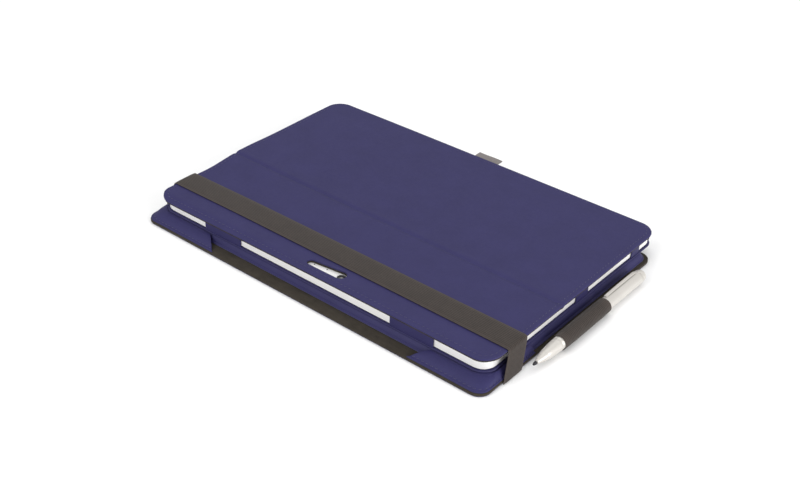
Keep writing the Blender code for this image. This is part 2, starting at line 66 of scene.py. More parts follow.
# Plan sizes in millimetres, in the frame's own axes
TABLET_HALF = (146.0, 100.7)
TABLET_RADIUS = 10.0
TABLET_BACK = 18.0
PANEL_SPAN = (-150.0, 150.0, -103.8, 99.0)
PANEL_RADIUS = 13.0
PANEL_Z = (19.45, 21.0)
LINING_Z = (18.4, 19.4)
LINING_INSET = 0.5
CREASE_Y = -22.8
PANEL_SLICES = {"across": 9.0, "fixed": 8.0, "flap": 9.0, "crease": 0.7}
RIM_SLICES = (-102.9, -102.0, -101.0, -100.0, -98.8, -97.4, -95.8)
SLOT_LEFT = (-4.2, -94.3, 2.9)
SLOT_RIGHT = (20.8, -92.6, 4.3)
SLOT_CUT_Z = (17.0, 23.0)
LENS = (21.0, -91.8)
BEZEL_LEVELS = ((3.1, 17.0), (3.1, 18.1), (2.95, 18.22), (2.5, 18.22), (2.3, 18.05), (2.3, 17.0))
LENS_LEVELS = ((2.25, 17.1), (2.25, 17.9), (1.9, 18.02), (1.2, 18.1), (0.5, 18.13))
MICROPHONES = ((-3.1, -92.1), (7.5, -91.1))
COVER_SPAN = (-153.0, 153.0, -114.0, 91.0)
COVER_RADIUS = 9.0
COVER_LINING_Z = (0.6, 2.68)
SURROUND_LOW = (150.0, -104.4, 88.6, 9.0)
SURROUND_TOP = (147.0, -101.4, 86.6, 8.0)
KEYBOARD_HOLE = (-139.0, 139.0, -92.0, 80.0)
KEYBOARD_HOLE_RADIUS = 2.0
TOUCHPAD_SPAN = (-49.9, 49.9, -83.9, -33.1)
TOUCHPAD_Z = (6.3, 7.5)
FRAME_HOLE = (-131.0, 131.0, -89.0, 89.0)
FRAME_HOLE_RADIUS = 6.0
FRAME_LIP = 1.6
COVER_HINGE = (91.3, 1.6)
TABLET_HINGE = (101.8, 8.6)
SPINE_HALF_X = 143.0
STYLUS_X, STYLUS_Z = 159.9, 5.75
STYLUS_Y = (-70.0, 63.0)
BARREL_NEAR = (
    (0.0, 3.4), (1.35, 3.4), (1.5, 3.6), (1.75, 4.6), (2.3, 6.6), (3.0, 9.4), (3.45, 11.6), (3.5, 11.9),
    (3.42, 12.05), (3.45, 12.2), (3.6, 12.5), (3.95, 15.5), (4.25, 19.0), (4.45, 22.5), (4.57, 26.0),
    (4.58, 27.0), (4.5, 27.15), (4.5, 27.45), (4.6, 27.6), (4.6, 60.0),
)
BARREL_FAR = ((4.6, -7.0), (4.55, -6.6), (4.3, -6.45), (0.0, -6.45))
NIB = ((0.0, 0.0), (0.35, 0.03), (0.62, 0.22), (0.85, 0.7), (1.05, 1.6), (1.22, 3.0), (0.0, 3.1))
BUTTON = (
    (0.0, -6.05), (4.35, -6.05), (4.5, -5.9), (4.5, -3.9), (4.42, -3.0), (4.1, -1.9), (3.5, -1.0),
    (2.6, -0.4), (1.4, -0.08), (0.0, 0.0),
)
CLIP_LINE = (
    (-7.2, 10.2), (-8.6, 10.9), (-10.5, 11.35), (-28.0, 11.5), (-43.0, 11.3), (-45.0, 10.9), (-46.4, 11.1),
)
LOOP_Y = (-40.5, 14.0)
LOOP_RADIUS = 5.2
LOOP_START, LOOP_SWEEP, LOOP_STEPS = 222.0, 316.0, 26
STRAP_TOP_Z = 21.72
STRAP_FOOT_Y = -83.0
STRAP_CLIMB_Y = 7.7
KEY_PITCH = 18.6
KEY_GAP = 2.4
ROW_UNITS = 14.6
CAP_Z = (5.6, 8.0)
WEB_Z = (5.5, 6.2)
RAIL_Z = (6.62, 7.18)
RAIL_HALF = 0.85
KEY_ROWS = {
    "key_row_function": (70.5, 9.0, 0.0, [ROW_UNITS / 14] * 14),
    "key_row_number": (55.6, 16.2, 0.0, [1.0] * 13 + [1.6]),
    "key_row_upper": (37.0, 16.2, 0.0, [1.5] + [1.0] * 12 + [1.1]),
    "key_row_home": (18.4, 16.2, 0.0, [1.75] + [1.0] * 11 + [1.85]),
    "key_row_lower": (-0.2, 16.2, 0.0, [2.25] + [1.0] * 10 + [2.35]),
    "key_row_left": (-18.8, 16.2, 0.0, [1.0, 1.0, 1.0, 1.3]),
    "space_bar": (-18.8, 16.2, 4.3, [5.3]),
    "key_row_right": (-18.8, 16.2, 9.6, [1.0] * 5),
}
CLIPS_NEAR = {"near_left": (-101.0, -65.0), "near_right": (70.5, 106.0)}
CLIPS_SIDE = {"mid": (-1.5, 13.5), "far": (69.5, 80.0)}
POCKETS = {
    "corner_pocket_left": (-1, 82.0, 95.0),
    "corner_pocket_right": (1, 94.0, 105.0),
}
POCKET_SIDE_END = -56.0
POCKET_FAR = 90.0

# (share of the way up, millimetres pushed outwards, z) up the two padded slopes
SURROUND_PROFILE = (
    (0.0, -0.2, 2.8), (0.0, 0.35, 2.95), (0.0, 0.55, 3.3), (0.05, 0.4, 3.65), (0.08, 0.02, 3.85),
    (0.14, -0.12, 4.0), (0.22, 0.05, 4.3), (0.4, 0.22, 5.1), (0.6, 0.3, 6.1), (0.8, 0.22, 7.0),
    (0.93, 0.02, 7.6), (1.0, -0.5, 7.98), (1.0, -1.2, 8.1), (1.0, -2.6, 8.1), (1.0, -6.4, 8.1),
)
POCKET_PROFILE = (
    (0.0, -0.4, 2.9), (0.0, 0.25, 2.85), (0.0, 0.5, 3.15), (0.03, 0.42, 3.5), (0.07, 0.05, 3.68),
    (0.1, -0.1, 3.72), (0.16, 0.05, 3.95), (0.3, 0.35, 4.85), (0.45, 0.5, 5.75), (0.6, 0.5, 6.6),
    (0.75, 0.4, 7.3), (0.88, 0.25, 7.85), (1.0, 0.0, 8.2),
)

# Modelling limits and stitches, in millimetres and degrees
HAIR = 0.0005
SMALLEST_RADIUS = 0.25
STITCH_LENGTH, STITCH_WIDTH, STITCH_SLANT = 2.5, 0.55, 9.0
FLAT_RIM = 0.35
# Gain of the convex-edge attribute that the materials paint paler, as edge wear and a painted highlight.
WEAR_AND_HIGHLIGHT_GAIN = 8.0


# ---------------------------------------------------------------- shader graphs


class Wire:
    """A node's output socket, which sums and products can be written with."""

    def __init__(self, graph, socket):
        self.graph, self.socket = graph, socket

    def maths(self, operation, *values):
        return self.graph.node("ShaderNodeMath", {"operation": operation}, dict(enumerate(values or [self])))

    def __add__(self, other):
        return self.maths("ADD", self, other)

    __radd__ = __add__

    def __sub__(self, other):
        return self.maths("SUBTRACT", self, other)

    def __rsub__(self, other):
        return self.maths("SUBTRACT", other, self)

    def __mul__(self, other):
        return self.maths("MULTIPLY", self, other)

    __rmul__ = __mul__

    def __lt__(self, other):
        return self.maths("LESS_THAN", self, other)

    def __gt__(self, other):
        return self.maths("GREATER_THAN", self, other)


class Graph:
    """One material's nodes, with its shader's constant sockets set directly."""

    def __init__(self, name, **constants):
        self.material = bpy.data.materials.new(name)
        self.material.use_nodes = True
        self.nodes = self.material.node_tree.nodes
        self.links = self.material.node_tree.links
        self.shader = self.nodes["Principled BSDF"]
        for label, value in constants.items():
            self.shader.inputs[label.replace("_", " ")].default_value = value

    def node(self, kind, settings=None, inputs=None, output=0):
        """Add any node: its settings first, then the values or links of its sockets."""
        made = self.nodes.new(kind)
        for label, value in (settings or {}).items():
            if label == "stops":
                self._set_stops(made.color_ramp, value)
            else:
                setattr(made, label, value)
        for label, value in (inputs or {}).items():
            self.feed(made.inputs[label], value)
        return Wire(self, made.outputs[output])

    def feed(self, socket, value):
        if isinstance(value, Wire):
            self.links.new(value.socket, socket)
        else:
            socket.default_value = value

    @staticmethod
    def _set_stops(ramp, stops):
        while len(ramp.elements) < len(stops):
            ramp.elements.new(0.5)
        for element, (position, colour) in zip(ramp.elements, stops):
            element.position = position
            element.color = (*colour, 1.0)

    def place(self, scale=(1.0, 1.0, 1.0), turn=(0.0, 0.0, 0.0), attribute=None):
        """Coordinates in millimetres from the object, or from one of its attributes, stretched by scale."""
        if attribute:
            source = self.painted(attribute, "Vector")
        else:
            source = self.node("ShaderNodeTexCoord", output="Object")
        stretch = tuple(value / MM for value in scale)
        return self.node("ShaderNodeMapping", inputs={"Vector": source, "Scale": stretch, "Rotation": turn})

    def painted(self, attribute, output="Fac"):
        """An attribute that the mesh carries."""
        return self.node("ShaderNodeAttribute", {"attribute_name": attribute}, output=output)

    def noise(self, where, scale, detail=3.0, roughness=0.55):
        return self.node("ShaderNodeTexNoise", inputs={
            "Vector": where, "Scale": scale, "Detail": detail, "Roughness": roughness}, output="Fac")

    def cells(self, where, scale):
        return self.node("ShaderNodeTexVoronoi", {"feature": "SMOOTH_F1"}, {
            "Vector": where, "Scale": scale, "Randomness": 1.0}, output="Distance")

    def spread(self, value, low, high, to_low=0.0, to_high=1.0):
        return self.node("ShaderNodeMapRange", {"clamp": True}, {
            "Value": value, "From Min": low, "From Max": high, "To Min": to_low, "To Max": to_high})

    def blend(self, factor, first, second):
        """Colour mix of two colours or links."""
        made = self.nodes.new("ShaderNodeMix")
        made.data_type = "RGBA"
        self.feed(made.inputs["Factor"], factor)
        for label, value in (("A", first), ("B", second)):
            socket = next(s for s in made.inputs if s.name == label and s.type == "RGBA")
            self.feed(socket, value if isinstance(value, Wire) else (*value[:3], 1.0))
        return Wire(self, next(s for s in made.outputs if s.type == "RGBA"))

    def shades(self, factor, colour, low, high):
        """A colour that goes from low times itself to high times itself."""
        return self.blend(factor, lighter(colour, low), lighter(colour, high))

    def axis(self, where, name):
        return self.node("ShaderNodeSeparateXYZ", inputs={"Vector": where}, output=name)

    def wave(self, value, period):
        """Smooth ridges from 0 to 1, one for each period along value."""
        return (value * (2.0 * math.pi / period)).maths("SINE") * 0.5 + 0.5

    def bump(self, height, depth, under=None):
        """Raise the surface by depth millimetres where height is 1."""
        inputs = {"Height": height, "Distance": depth * MM, "Strength": 1.0}
        if under is not None:
            inputs["Normal"] = under
        return self.node("ShaderNodeBump", inputs=inputs)

    def finish(self, **varying):
        for label, value in varying.items():
            self.feed(self.shader.inputs[label.replace("_", " ")], value)
        return self.material


def lighter(colour, factor):
    return tuple(min(value * factor, 1.0) for value in colour[:3])


def leatherette(name, colour, grain, shade_factor=1.0):
    """Fine pebbled coated leatherette, paler along its edges from wear and a painted highlight."""
    # A tone below 1 darkens the whole colour, as painted shade.
    base = lighter(colour, shade_factor)
    graph = Graph(name, Specular_IOR_Level=0.2)
    where = graph.place()
    warp = graph.noise(where, 0.35, 2.0)
    pebble = graph.cells(where, 1.0 / grain)
    fine = graph.noise(where, 3.2, 4.0, 0.6)
    board = graph.noise(where, 0.018, 3.0)
    cloud = graph.noise(where, 0.06, 4.0)
    # Convex edges, broken up by fine noise: paler as edge wear and a painted highlight, and a little less
    # rough.
    rubbed = graph.spread(graph.painted("wear") * (fine * 0.6 + 0.7), 0.25, 1.0)
    tinted = graph.shades(graph.spread(cloud, 0.3, 0.7), base, 0.94, 1.06)
    creased = graph.blend(graph.spread(pebble, 0.25, 0.75) * 0.16, tinted, lighter(base, 0.62))
    worn_and_highlit = graph.blend(rubbed * 0.42, creased, tuple(value * 1.5 + 0.02 for value in base))
    rough = graph.spread(fine * 0.6 + warp * 0.4, 0.3, 0.7, 0.5, 0.62)
    relief = graph.bump(pebble * -0.7 + fine * 0.3, 0.035)
    relief = graph.bump(board, 0.25, relief)
    return graph.finish(Base_Color=worn_and_highlit, Roughness=rough - rubbed * 0.08, Normal=relief)


def microfibre(name, colour):
    """Brushed lining with a mottled, slightly rubbed nap."""
    graph = Graph(name, Specular_IOR_Level=0.12, Sheen_Weight=0.08, Sheen_Roughness=0.5)
    where = graph.place()
    nap = graph.noise(graph.place((1.0, 2.4, 1.0), (0.0, 0.0, 0.5)), 1.1, 5.0, 0.65)
    mottle = graph.noise(where, 0.12, 5.0, 0.62)
    streak = graph.noise(graph.place((0.25, 1.0, 1.0)), 0.3, 3.0)
    shade = graph.shades(graph.spread(mottle * 0.6 + streak * 0.4, 0.36, 0.64), colour, 0.76, 1.32)
    flecked = graph.blend(graph.spread(nap, 0.42, 0.72) * 0.4, shade, lighter(colour, 1.8))
    rough = graph.spread(nap, 0.3, 0.7, 0.86, 0.98)
    return graph.finish(Base_Color=flecked, Roughness=rough, Normal=graph.bump(nap, 0.12))


def elastic(name, colour, rib):
    """Woven elastic: ribs along its length, crossed by a fine weft, on the weave attribute."""
    graph = Graph(name, Specular_IOR_Level=0.22, Sheen_Weight=0.12, Sheen_Roughness=0.5)
    where = graph.place(attribute="weave")
    along, across = graph.axis(where, "X"), graph.axis(where, "Y")
    wobble = graph.noise(where, 0.5, 3.0) * 0.5
    ribs = graph.wave(across + wobble * 0.3, rib)
    weft = graph.wave(along + wobble * 1.6, rib * 0.7)
    yarn = graph.noise(graph.place((0.7, 1.3, 1.0), attribute="weave"), 0.9, 5.0, 0.7)
    patch = graph.noise(where, 0.09, 3.0)
    weave = ribs * 0.6 + ribs * weft * 0.4
    dark = graph.shades(graph.spread(weave, 0.1, 0.85), colour, 0.5, 1.3)
    hairy = graph.blend(graph.spread(yarn, 0.4, 0.68) * 0.65, dark, lighter(colour, 1.7))
    toned = graph.blend(graph.spread(patch, 0.35, 0.65) * 0.4, hairy, lighter(colour, 0.75))
    bound = graph.blend(graph.painted("selvedge") * 0.5, toned, lighter(colour, 1.7))
    relief = graph.bump(weave * 0.8 + yarn * 0.2, 0.14)
    return graph.finish(Base_Color=bound, Roughness=graph.spread(yarn, 0.3, 0.7, 0.78, 0.92), Normal=relief)


def ribbon_cloth(name, colour):
    """Close grosgrain ribbon with fine cross ribs."""
    graph = Graph(name, Specular_IOR_Level=0.3, Sheen_Weight=0.1, Sheen_Roughness=0.4)
    where = graph.place()
    ribs = graph.wave(graph.axis(where, "Y"), 0.75)
    warp = graph.wave(graph.axis(where, "X"), 0.45)
    dirt = graph.noise(where, 0.45, 4.0)
    shade = graph.shades(graph.spread(ribs * 0.7 + warp * 0.3, 0.1, 0.9), colour, 0.78, 1.1)
    used = graph.blend(graph.spread(dirt, 0.4, 0.7) * 0.25, shade, lighter(colour, 0.7))
    relief = graph.bump(ribs * 0.8 + warp * 0.2, 0.08)
    return graph.finish(Base_Color=used, Roughness=graph.spread(dirt, 0.3, 0.7, 0.62, 0.78), Normal=relief)


def thread(name, colour):
    """Twisted sewing thread."""
    graph = Graph(name, Specular_IOR_Level=0.4, Sheen_Weight=0.15)
    where = graph.place()
    twist = graph.wave(graph.axis(where, "X") + graph.axis(where, "Y") + graph.axis(where, "Z"), 0.35)
    fuzz = graph.noise(where, 4.0, 2.0)
    shade = graph.shades(twist * 0.5 + fuzz * 0.3, colour, 0.7, 1.3)
    rough = graph.spread(fuzz, 0.3, 0.7, 0.5, 0.7)
    return graph.finish(Base_Color=shade, Roughness=rough, Normal=graph.bump(twist, 0.03))


def anodised(name, colour, metallic, rough):
    """Bead-blasted metal or metallic paint: very fine sparkle, a little handling haze, edges paler from wear
    and a painted highlight.
    """
    graph = Graph(name, Metallic=metallic, Specular_IOR_Level=0.5)
    where = graph.place()
    blast = graph.noise(where, 9.0, 2.0, 0.7)
    haze = graph.noise(where, 0.05, 4.0)
    shade = graph.shades(graph.spread(haze, 0.3, 0.7), colour, 0.96, 1.03)
    speck = graph.blend(graph.spread(blast, 0.3, 0.7) * 0.35, shade, lighter(colour, 0.88))
    # Convex edges paler: edge wear and a painted highlight.
    worn_and_highlit_edges = graph.blend(graph.spread(graph.painted("wear"), 0.3, 1.0) * 0.3, speck, lighter(colour, 1.2))
    polish = graph.spread(haze * 0.5 + blast * 0.5, 0.3, 0.7, rough - 0.05, rough + 0.06)
    return graph.finish(Base_Color=worn_and_highlit_edges, Roughness=polish, Normal=graph.bump(blast, 0.006))


def moulded(name, colour, rough, texture, depth):
    """Spark-textured moulded plastic, shinier where fingers rub it, paler along its edges from wear and a
    painted highlight.
    """
    graph = Graph(name, Specular_IOR_Level=0.42)
    where = graph.place()
    spark = graph.noise(where, texture, 3.0, 0.6)
    rubbed = graph.noise(where, 0.04, 4.0)
    shade = graph.shades(graph.spread(spark, 0.3, 0.7), colour, 0.85, 1.2)
    # Convex edges paler: edge wear and a painted highlight.
    scuffed_and_highlit = tuple(value * 1.6 + 0.01 for value in colour[:3])
    edged = graph.blend(graph.spread(graph.painted("wear"), 0.2, 1.0) * 0.35, shade, scuffed_and_highlit)
    polish = graph.spread(rubbed, 0.35, 0.65, rough - 0.07, rough + 0.05)
    return graph.finish(Base_Color=edged, Roughness=polish, Normal=graph.bump(spark, depth))


def screen_glass(name, colour):
    """Cover glass: a printed black border round a dark display, with faint smears."""
    graph = Graph(name, Specular_IOR_Level=0.3)
    where = graph.place()
    x, y = graph.axis(where, "X"), graph.axis(where, "Y")
    half_wide, half_high = 125.5, 83.7
    display = (x.maths("ABSOLUTE") < half_wide) * (y.maths("ABSOLUTE") < half_high)
    smear = graph.noise(graph.place((1.0, 0.35, 1.0), (0.0, 0.0, 0.6)), 0.03, 5.0)
    shade = graph.blend(display, lighter(colour, 0.6), (0.016, 0.018, 0.026))
    rough = graph.spread(smear, 0.4, 0.75, 0.05, 0.16)
    return graph.finish(Base_Color=shade, Roughness=rough, Normal=graph.bump(smear, 0.01))


def lens_glass(name):
    """Coated camera glass: a painted pale highlight in the middle of dark glass, by distance from the lens's
    axis.
    """
    graph = Graph(name, Specular_IOR_Level=0.6, Coat_Weight=1.0, Coat_Roughness=0.03)
    where = graph.place()
    x, y = graph.axis(where, "X") - LENS[0], graph.axis(where, "Y") - LENS[1]
    # The pale middle is a painted highlight on the glass; the dark outer rings are the glass's own colour.
    stops = [(0.0, (0.17, 0.165, 0.165)), (0.34, (0.12, 0.115, 0.12)), (0.42, (0.02, 0.02, 0.025)),
             (0.9, (0.012, 0.012, 0.014))]
    radius = (x * x + y * y).maths("SQRT")
    glint_and_dark_glass = graph.node("ShaderNodeValToRGB", {"stops": stops}, {"Fac": radius * 0.4})
    speck = graph.noise(where, 6.0, 2.0)
    return graph.finish(Base_Color=glint_and_dark_glass, Roughness=graph.spread(speck, 0.3, 0.7, 0.06, 0.12))


def board_paper(name, colour, scale=0.8):
    """Fibrous board, foil or solder mask for the parts that stay hidden inside."""
    graph = Graph(name, Specular_IOR_Level=0.3)
    where = graph.place()
    fibre = graph.noise(graph.place((0.4, 1.6, 1.0)), scale, 5.0, 0.65)
    stain = graph.noise(where, 0.06, 3.0)
    shade = graph.shades(graph.spread(fibre, 0.35, 0.65), colour, 0.8, 1.2)
    aged = graph.blend(graph.spread(stain, 0.4, 0.7) * 0.3, shade, lighter(colour, 0.75))
    rough = graph.spread(fibre, 0.3, 0.7, 0.6, 0.8)
    return graph.finish(Base_Color=aged, Roughness=rough, Normal=graph.bump(fibre, 0.05))


def studio_paper(name, colour):
    """Pale seamless paper for the floor, very faintly uneven."""
    graph = Graph(name, Specular_IOR_Level=0.1)
    cloud = graph.noise(graph.place(), 0.004, 2.0)
    shade = graph.shades(graph.spread(cloud, 0.3, 0.7), colour, 0.995, 1.0)
    return graph.finish(Base_Color=shade, Roughness=graph.spread(cloud, 0.3, 0.7, 0.9, 0.95))


def library(finish_name):
    """The material of that finish, made once from the scene's colours."""
    found = bpy.data.materials.get(finish_name)
    if found:
        return found
    tones = bpy.context.scene.case_colours
    sizes = bpy.context.scene.case_sizes
    navy, brown = tones.leatherette, tones.lining
    makers = {
        "navy leatherette": lambda n: leatherette(n, navy, sizes.grain),
        # A darker copy of the navy leatherette: painted shade, for the screen frame, the spine and the side
        # clips.
        "shaded leatherette": lambda n: leatherette(n, navy, sizes.grain, 0.9),
        "brown microfibre": lambda n: microfibre(n, brown),
        "brown elastic": lambda n: elastic(n, tones.strap, sizes.rib),
        "grey ribbon": lambda n: ribbon_cloth(n, tones.ribbon),
        "navy thread": lambda n: thread(n, tones.thread),
        "matte silver": lambda n: anodised(n, tones.metal, 0.25, 0.42),
        "pale stylus metal": lambda n: anodised(n, tones.stylus, 0.3, 0.38),
        "black plastic": lambda n: moulded(n, (0.035, 0.035, 0.038), 0.5, 4.0, 0.02),
        "keycap plastic": lambda n: moulded(n, (0.022, 0.022, 0.024), 0.42, 6.0, 0.012),
        "touchpad glass": lambda n: moulded(n, (0.02, 0.02, 0.023), 0.26, 9.0, 0.004),
        "dark nib": lambda n: moulded(n, (0.014, 0.013, 0.018), 0.6, 5.0, 0.02),
        "grey silicone": lambda n: moulded(n, (0.1, 0.1, 0.1), 0.7, 2.0, 0.03),
        "dark glass": lambda n: screen_glass(n, (0.008, 0.008, 0.01)),
        "camera glass": lens_glass,
        "grey board": lambda n: board_paper(n, (0.32, 0.3, 0.27)),
        "foil pouch": lambda n: board_paper(n, (0.3, 0.3, 0.32), 0.3),
        "green circuit": lambda n: board_paper(n, (0.02, 0.1, 0.045), 2.0),
        "studio paper": lambda n: studio_paper(n, (0.93, 0.93, 0.93)),
    }
    return makers[finish_name](finish_name)


# ---------------------------------------------------------------- mesh helpers, in millimetres


def edges_of(verts):
    """Each edge at the vertices once, always in the same order."""
    return list(dict.fromkeys(edge for vert in verts for edge in vert.link_edges))


def only(kind, geom):
    return [item for item in geom if isinstance(item, kind)]


def rim(bm, x0, x1, y0, y1, radius, z, steps=10):
    """Closed loop of edges round a rectangle with rounded corners."""
    made = bmesh.ops.create_circle(bm, segments=4 * steps, radius=1.0)["verts"]
    bmesh.ops.rotate(bm, verts=made, cent=(0, 0, 0), matrix=Matrix.Rotation(math.pi / (4 * steps), 3, "Z"))
    radius = max(radius, SMALLEST_RADIUS)
    for vert in made:
        corner_x = x1 - radius if vert.co.x > 0 else x0 + radius
        corner_y = y1 - radius if vert.co.y > 0 else y0 + radius
        vert.co = (corner_x + radius * vert.co.x, corner_y + radius * vert.co.y, z)
    return edges_of(made)


def inset_rim(bm, span, radius, inset, z, steps=10):
    x0, x1, y0, y1 = span
    return rim(bm, x0 + inset, x1 - inset, y0 + inset, y1 - inset, radius - inset, z, steps)


def bridge(bm, loops, ring=False, rise=0.002):
    """Join each loop of edges to the next; a ring joins the last to the first, else both ends are filled.

    Each loop is lifted a hair above the one before, because level loops bridge crosswise."""
    for index, loop in enumerate(loops):
        verts = list(dict.fromkeys(vert for edge in loop for vert in edge.verts))
        bmesh.ops.translate(bm, verts=verts, vec=(0.0, 0.0, rise * index))
    pairs = list(zip(loops, loops[1:]))
    if ring:
        pairs.append((loops[-1], loops[0]))
    for first, second in pairs:
        bmesh.ops.bridge_loops(bm, edges=first + second)
    if not ring:
        bmesh.ops.edgeloop_fill(bm, edges=loops[0])
        bmesh.ops.edgeloop_fill(bm, edges=loops[-1])


def fillet(edge, z0, z1, steps):
    """(inset, z) levels up the side of a slab whose rims are rounded by edge."""
    angles = [math.pi / 2 * k / steps for k in range(steps + 1)]
    low = [(edge * (1 - math.sin(angle)), z0 + edge * (1 - math.cos(angle))) for angle in angles]
    high = [(inset, z0 + z1 - z) for inset, z in reversed(low)]
    return [(edge + FLAT_RIM, z0), *low, *high, (edge + FLAT_RIM, z1)]


def slab(span, radius, z0, z1, edge, steps=10, rounding=4):
    """Flat plate with rounded corners and rims."""
    bm = bmesh.new()
    bridge(bm, [inset_rim(bm, span, radius, inset, z, steps) for inset, z in fillet(edge, z0, z1, rounding)])
    return bm


def slice_up(bm, axis, values):
    """Cut the mesh through at each value along an axis, so that it can bend there."""
    normal = Vector((0, 0, 0))
    normal[axis] = 1.0
    for value in values:
        trim(bm, normal * value, normal, False)


def steps_between(low, high, size):
    count = max(int(round((high - low) / size)), 1)
    return [low + (high - low) * i / count for i in range(1, count)]


def trim(bm, point, normal, remove=True):
    """Cut along a plane, and remove what lies on the normal's side of it."""
    everything = bm.verts[:] + bm.edges[:] + bm.faces[:]
    bmesh.ops.bisect_plane(bm, geom=everything, dist=HAIR, plane_co=point, plane_no=normal,
                           clear_outer=remove)


def ribbon(points, sweep, slices=1):
    """Sheet swept from a line of points along a vector, as wide strips."""
    bm = bmesh.new()
    verts = [bm.verts.new(point) for point in points]
    line = [bm.edges.new(pair) for pair in zip(verts, verts[1:])]
    for _ in range(slices):
        made = bmesh.ops.extrude_edge_only(bm, edges=line)["geom"]
        line = only(bmesh.types.BMEdge, made)
        bmesh.ops.translate(bm, verts=only(bmesh.types.BMVert, made), vec=Vector(sweep) / slices)
    return bm


def round_off(bm, edges, offset, segments=2):
    bmesh.ops.bevel(bm, geom=edges, offset=offset, offset_type="OFFSET", segments=segments, profile=0.5,
                    affect="EDGES", material=-1)


def sharp_edges(bm, degrees):
    return [e for e in bm.edges if len(e.link_faces) == 2 and e.calc_face_angle() > math.radians(degrees)]


def thicken(bm, thickness, edge):
    """Give a sheet its wall, with the sharp rims rounded by edge."""
    bmesh.ops.recalc_face_normals(bm, faces=bm.faces[:])
    bmesh.ops.solidify(bm, geom=bm.faces[:], thickness=thickness)
    round_off(bm, sharp_edges(bm, 50.0), edge)
    return bm


def soften(points, rounds=2):
    """Round a line of points by cutting its corners, with both ends kept."""
    for _ in range(rounds):
        cut = [points[0]]
        for first, second in zip(points, points[1:]):
            a, b = Vector(first), Vector(second)
            cut += [a.lerp(b, 0.25), a.lerp(b, 0.75)]
        cut.append(points[-1])
        points = [tuple(point) for point in cut]
    return points


def turned(profile, centre, steps):
    """Solid spun from (radius, y) points about an axis along Y; it starts and ends on the axis."""
    bm = bmesh.new()
    verts = [bm.verts.new((radius, y, 0.0)) for radius, y in profile]
    edges = [bm.edges.new(pair) for pair in zip(verts, verts[1:])]
    bmesh.ops.spin(bm, geom=verts + edges, cent=(0, 0, 0), axis=(0, 1, 0), angle=2 * math.pi, steps=steps,
                   use_merge=True)
    bmesh.ops.remove_doubles(bm, verts=bm.verts[:], dist=HAIR)
    bmesh.ops.translate(bm, verts=bm.verts[:], vec=(centre[0], 0.0, centre[1]))
    return bm


def add_block(bm, low, high, edge, top_inset=0.0):
    """Box with rounded edges, its top drawn in by top_inset."""
    made = bmesh.ops.create_cube(bm, size=1.0)["verts"]
    middle = (Vector(low) + Vector(high)) / 2
    size = Vector(high) - Vector(low)
    for vert in made:
        draw = top_inset if vert.co.z > 0 else 0.0
        reach = Vector((size.x / 2 - draw, size.y / 2 - draw, size.z / 2))
        vert.co = middle + Vector([math.copysign(r, c) for r, c in zip(reach, vert.co)])
    round_off(bm, edges_of(made), edge)


def walk(points, pitch, closed=False):
    """(place, direction) at each pitch along a line of points."""
    line = [Vector(point) for point in points]
    if closed:
        line.append(line[0])
    places, due = [], pitch / 2
    for first, second in zip(line, line[1:]):
        length = (second - first).length
        if length < 1e-6:
            continue
        way = (second - first) / length
        while due < length:
            places.append((first + way * due, way))
            due += pitch
        due -= length
    return places


def stitch(bm, points, pitch, closed, up):
    """Lockstitches along a line, each a small slanted grain of thread lying half in the surface."""
    lean = Matrix.Rotation(math.radians(STITCH_SLANT), 4, "Z")
    size = Matrix.Diagonal((STITCH_LENGTH / 2, STITCH_WIDTH / 2, STITCH_WIDTH / 2.4, 1.0))
    for place, way in walk(points, pitch, closed):
        normal = (Vector(up) - way * way.dot(Vector(up))).normalized()
        turn = Matrix((way, normal.cross(way), normal)).transposed().to_4x4()
        matrix = Matrix.Translation(place) @ turn @ lean @ size
        bmesh.ops.create_icosphere(bm, subdivisions=1, radius=1.0, matrix=matrix)


def rim_points(span, radius, inset, z, steps=10):
    """Points of a rounded rectangle, in order."""
    bm = bmesh.new()
    inset_rim(bm, span, radius, inset, z, steps)
    bm.verts.ensure_lookup_table()
    points = [vert.co.copy() for vert in bm.verts]
    bm.free()
    return points


def cut_out(bm, cutter):
    """The first bmesh less the second."""
    pair = []
    for source in (bm, cutter):
        bmesh.ops.recalc_face_normals(source, faces=source.faces[:])
        mesh = bpy.data.meshes.new("cut")
        source.to_mesh(mesh)
        source.free()
        pair.append(bpy.data.objects.new("cut", mesh))
        bpy.context.scene.collection.objects.link(pair[-1])
    body, tool = pair
    modifier = body.modifiers.new("cut", "BOOLEAN")
    modifier.operation, modifier.solver, modifier.object = "DIFFERENCE", "EXACT", tool
    bpy.context.view_layer.update()
    result = bmesh.new()
    result.from_object(body, bpy.context.evaluated_depsgraph_get())
    for obj in pair:
        mesh = obj.data
        bpy.data.objects.remove(obj)
        bpy.data.meshes.remove(mesh)
    return result


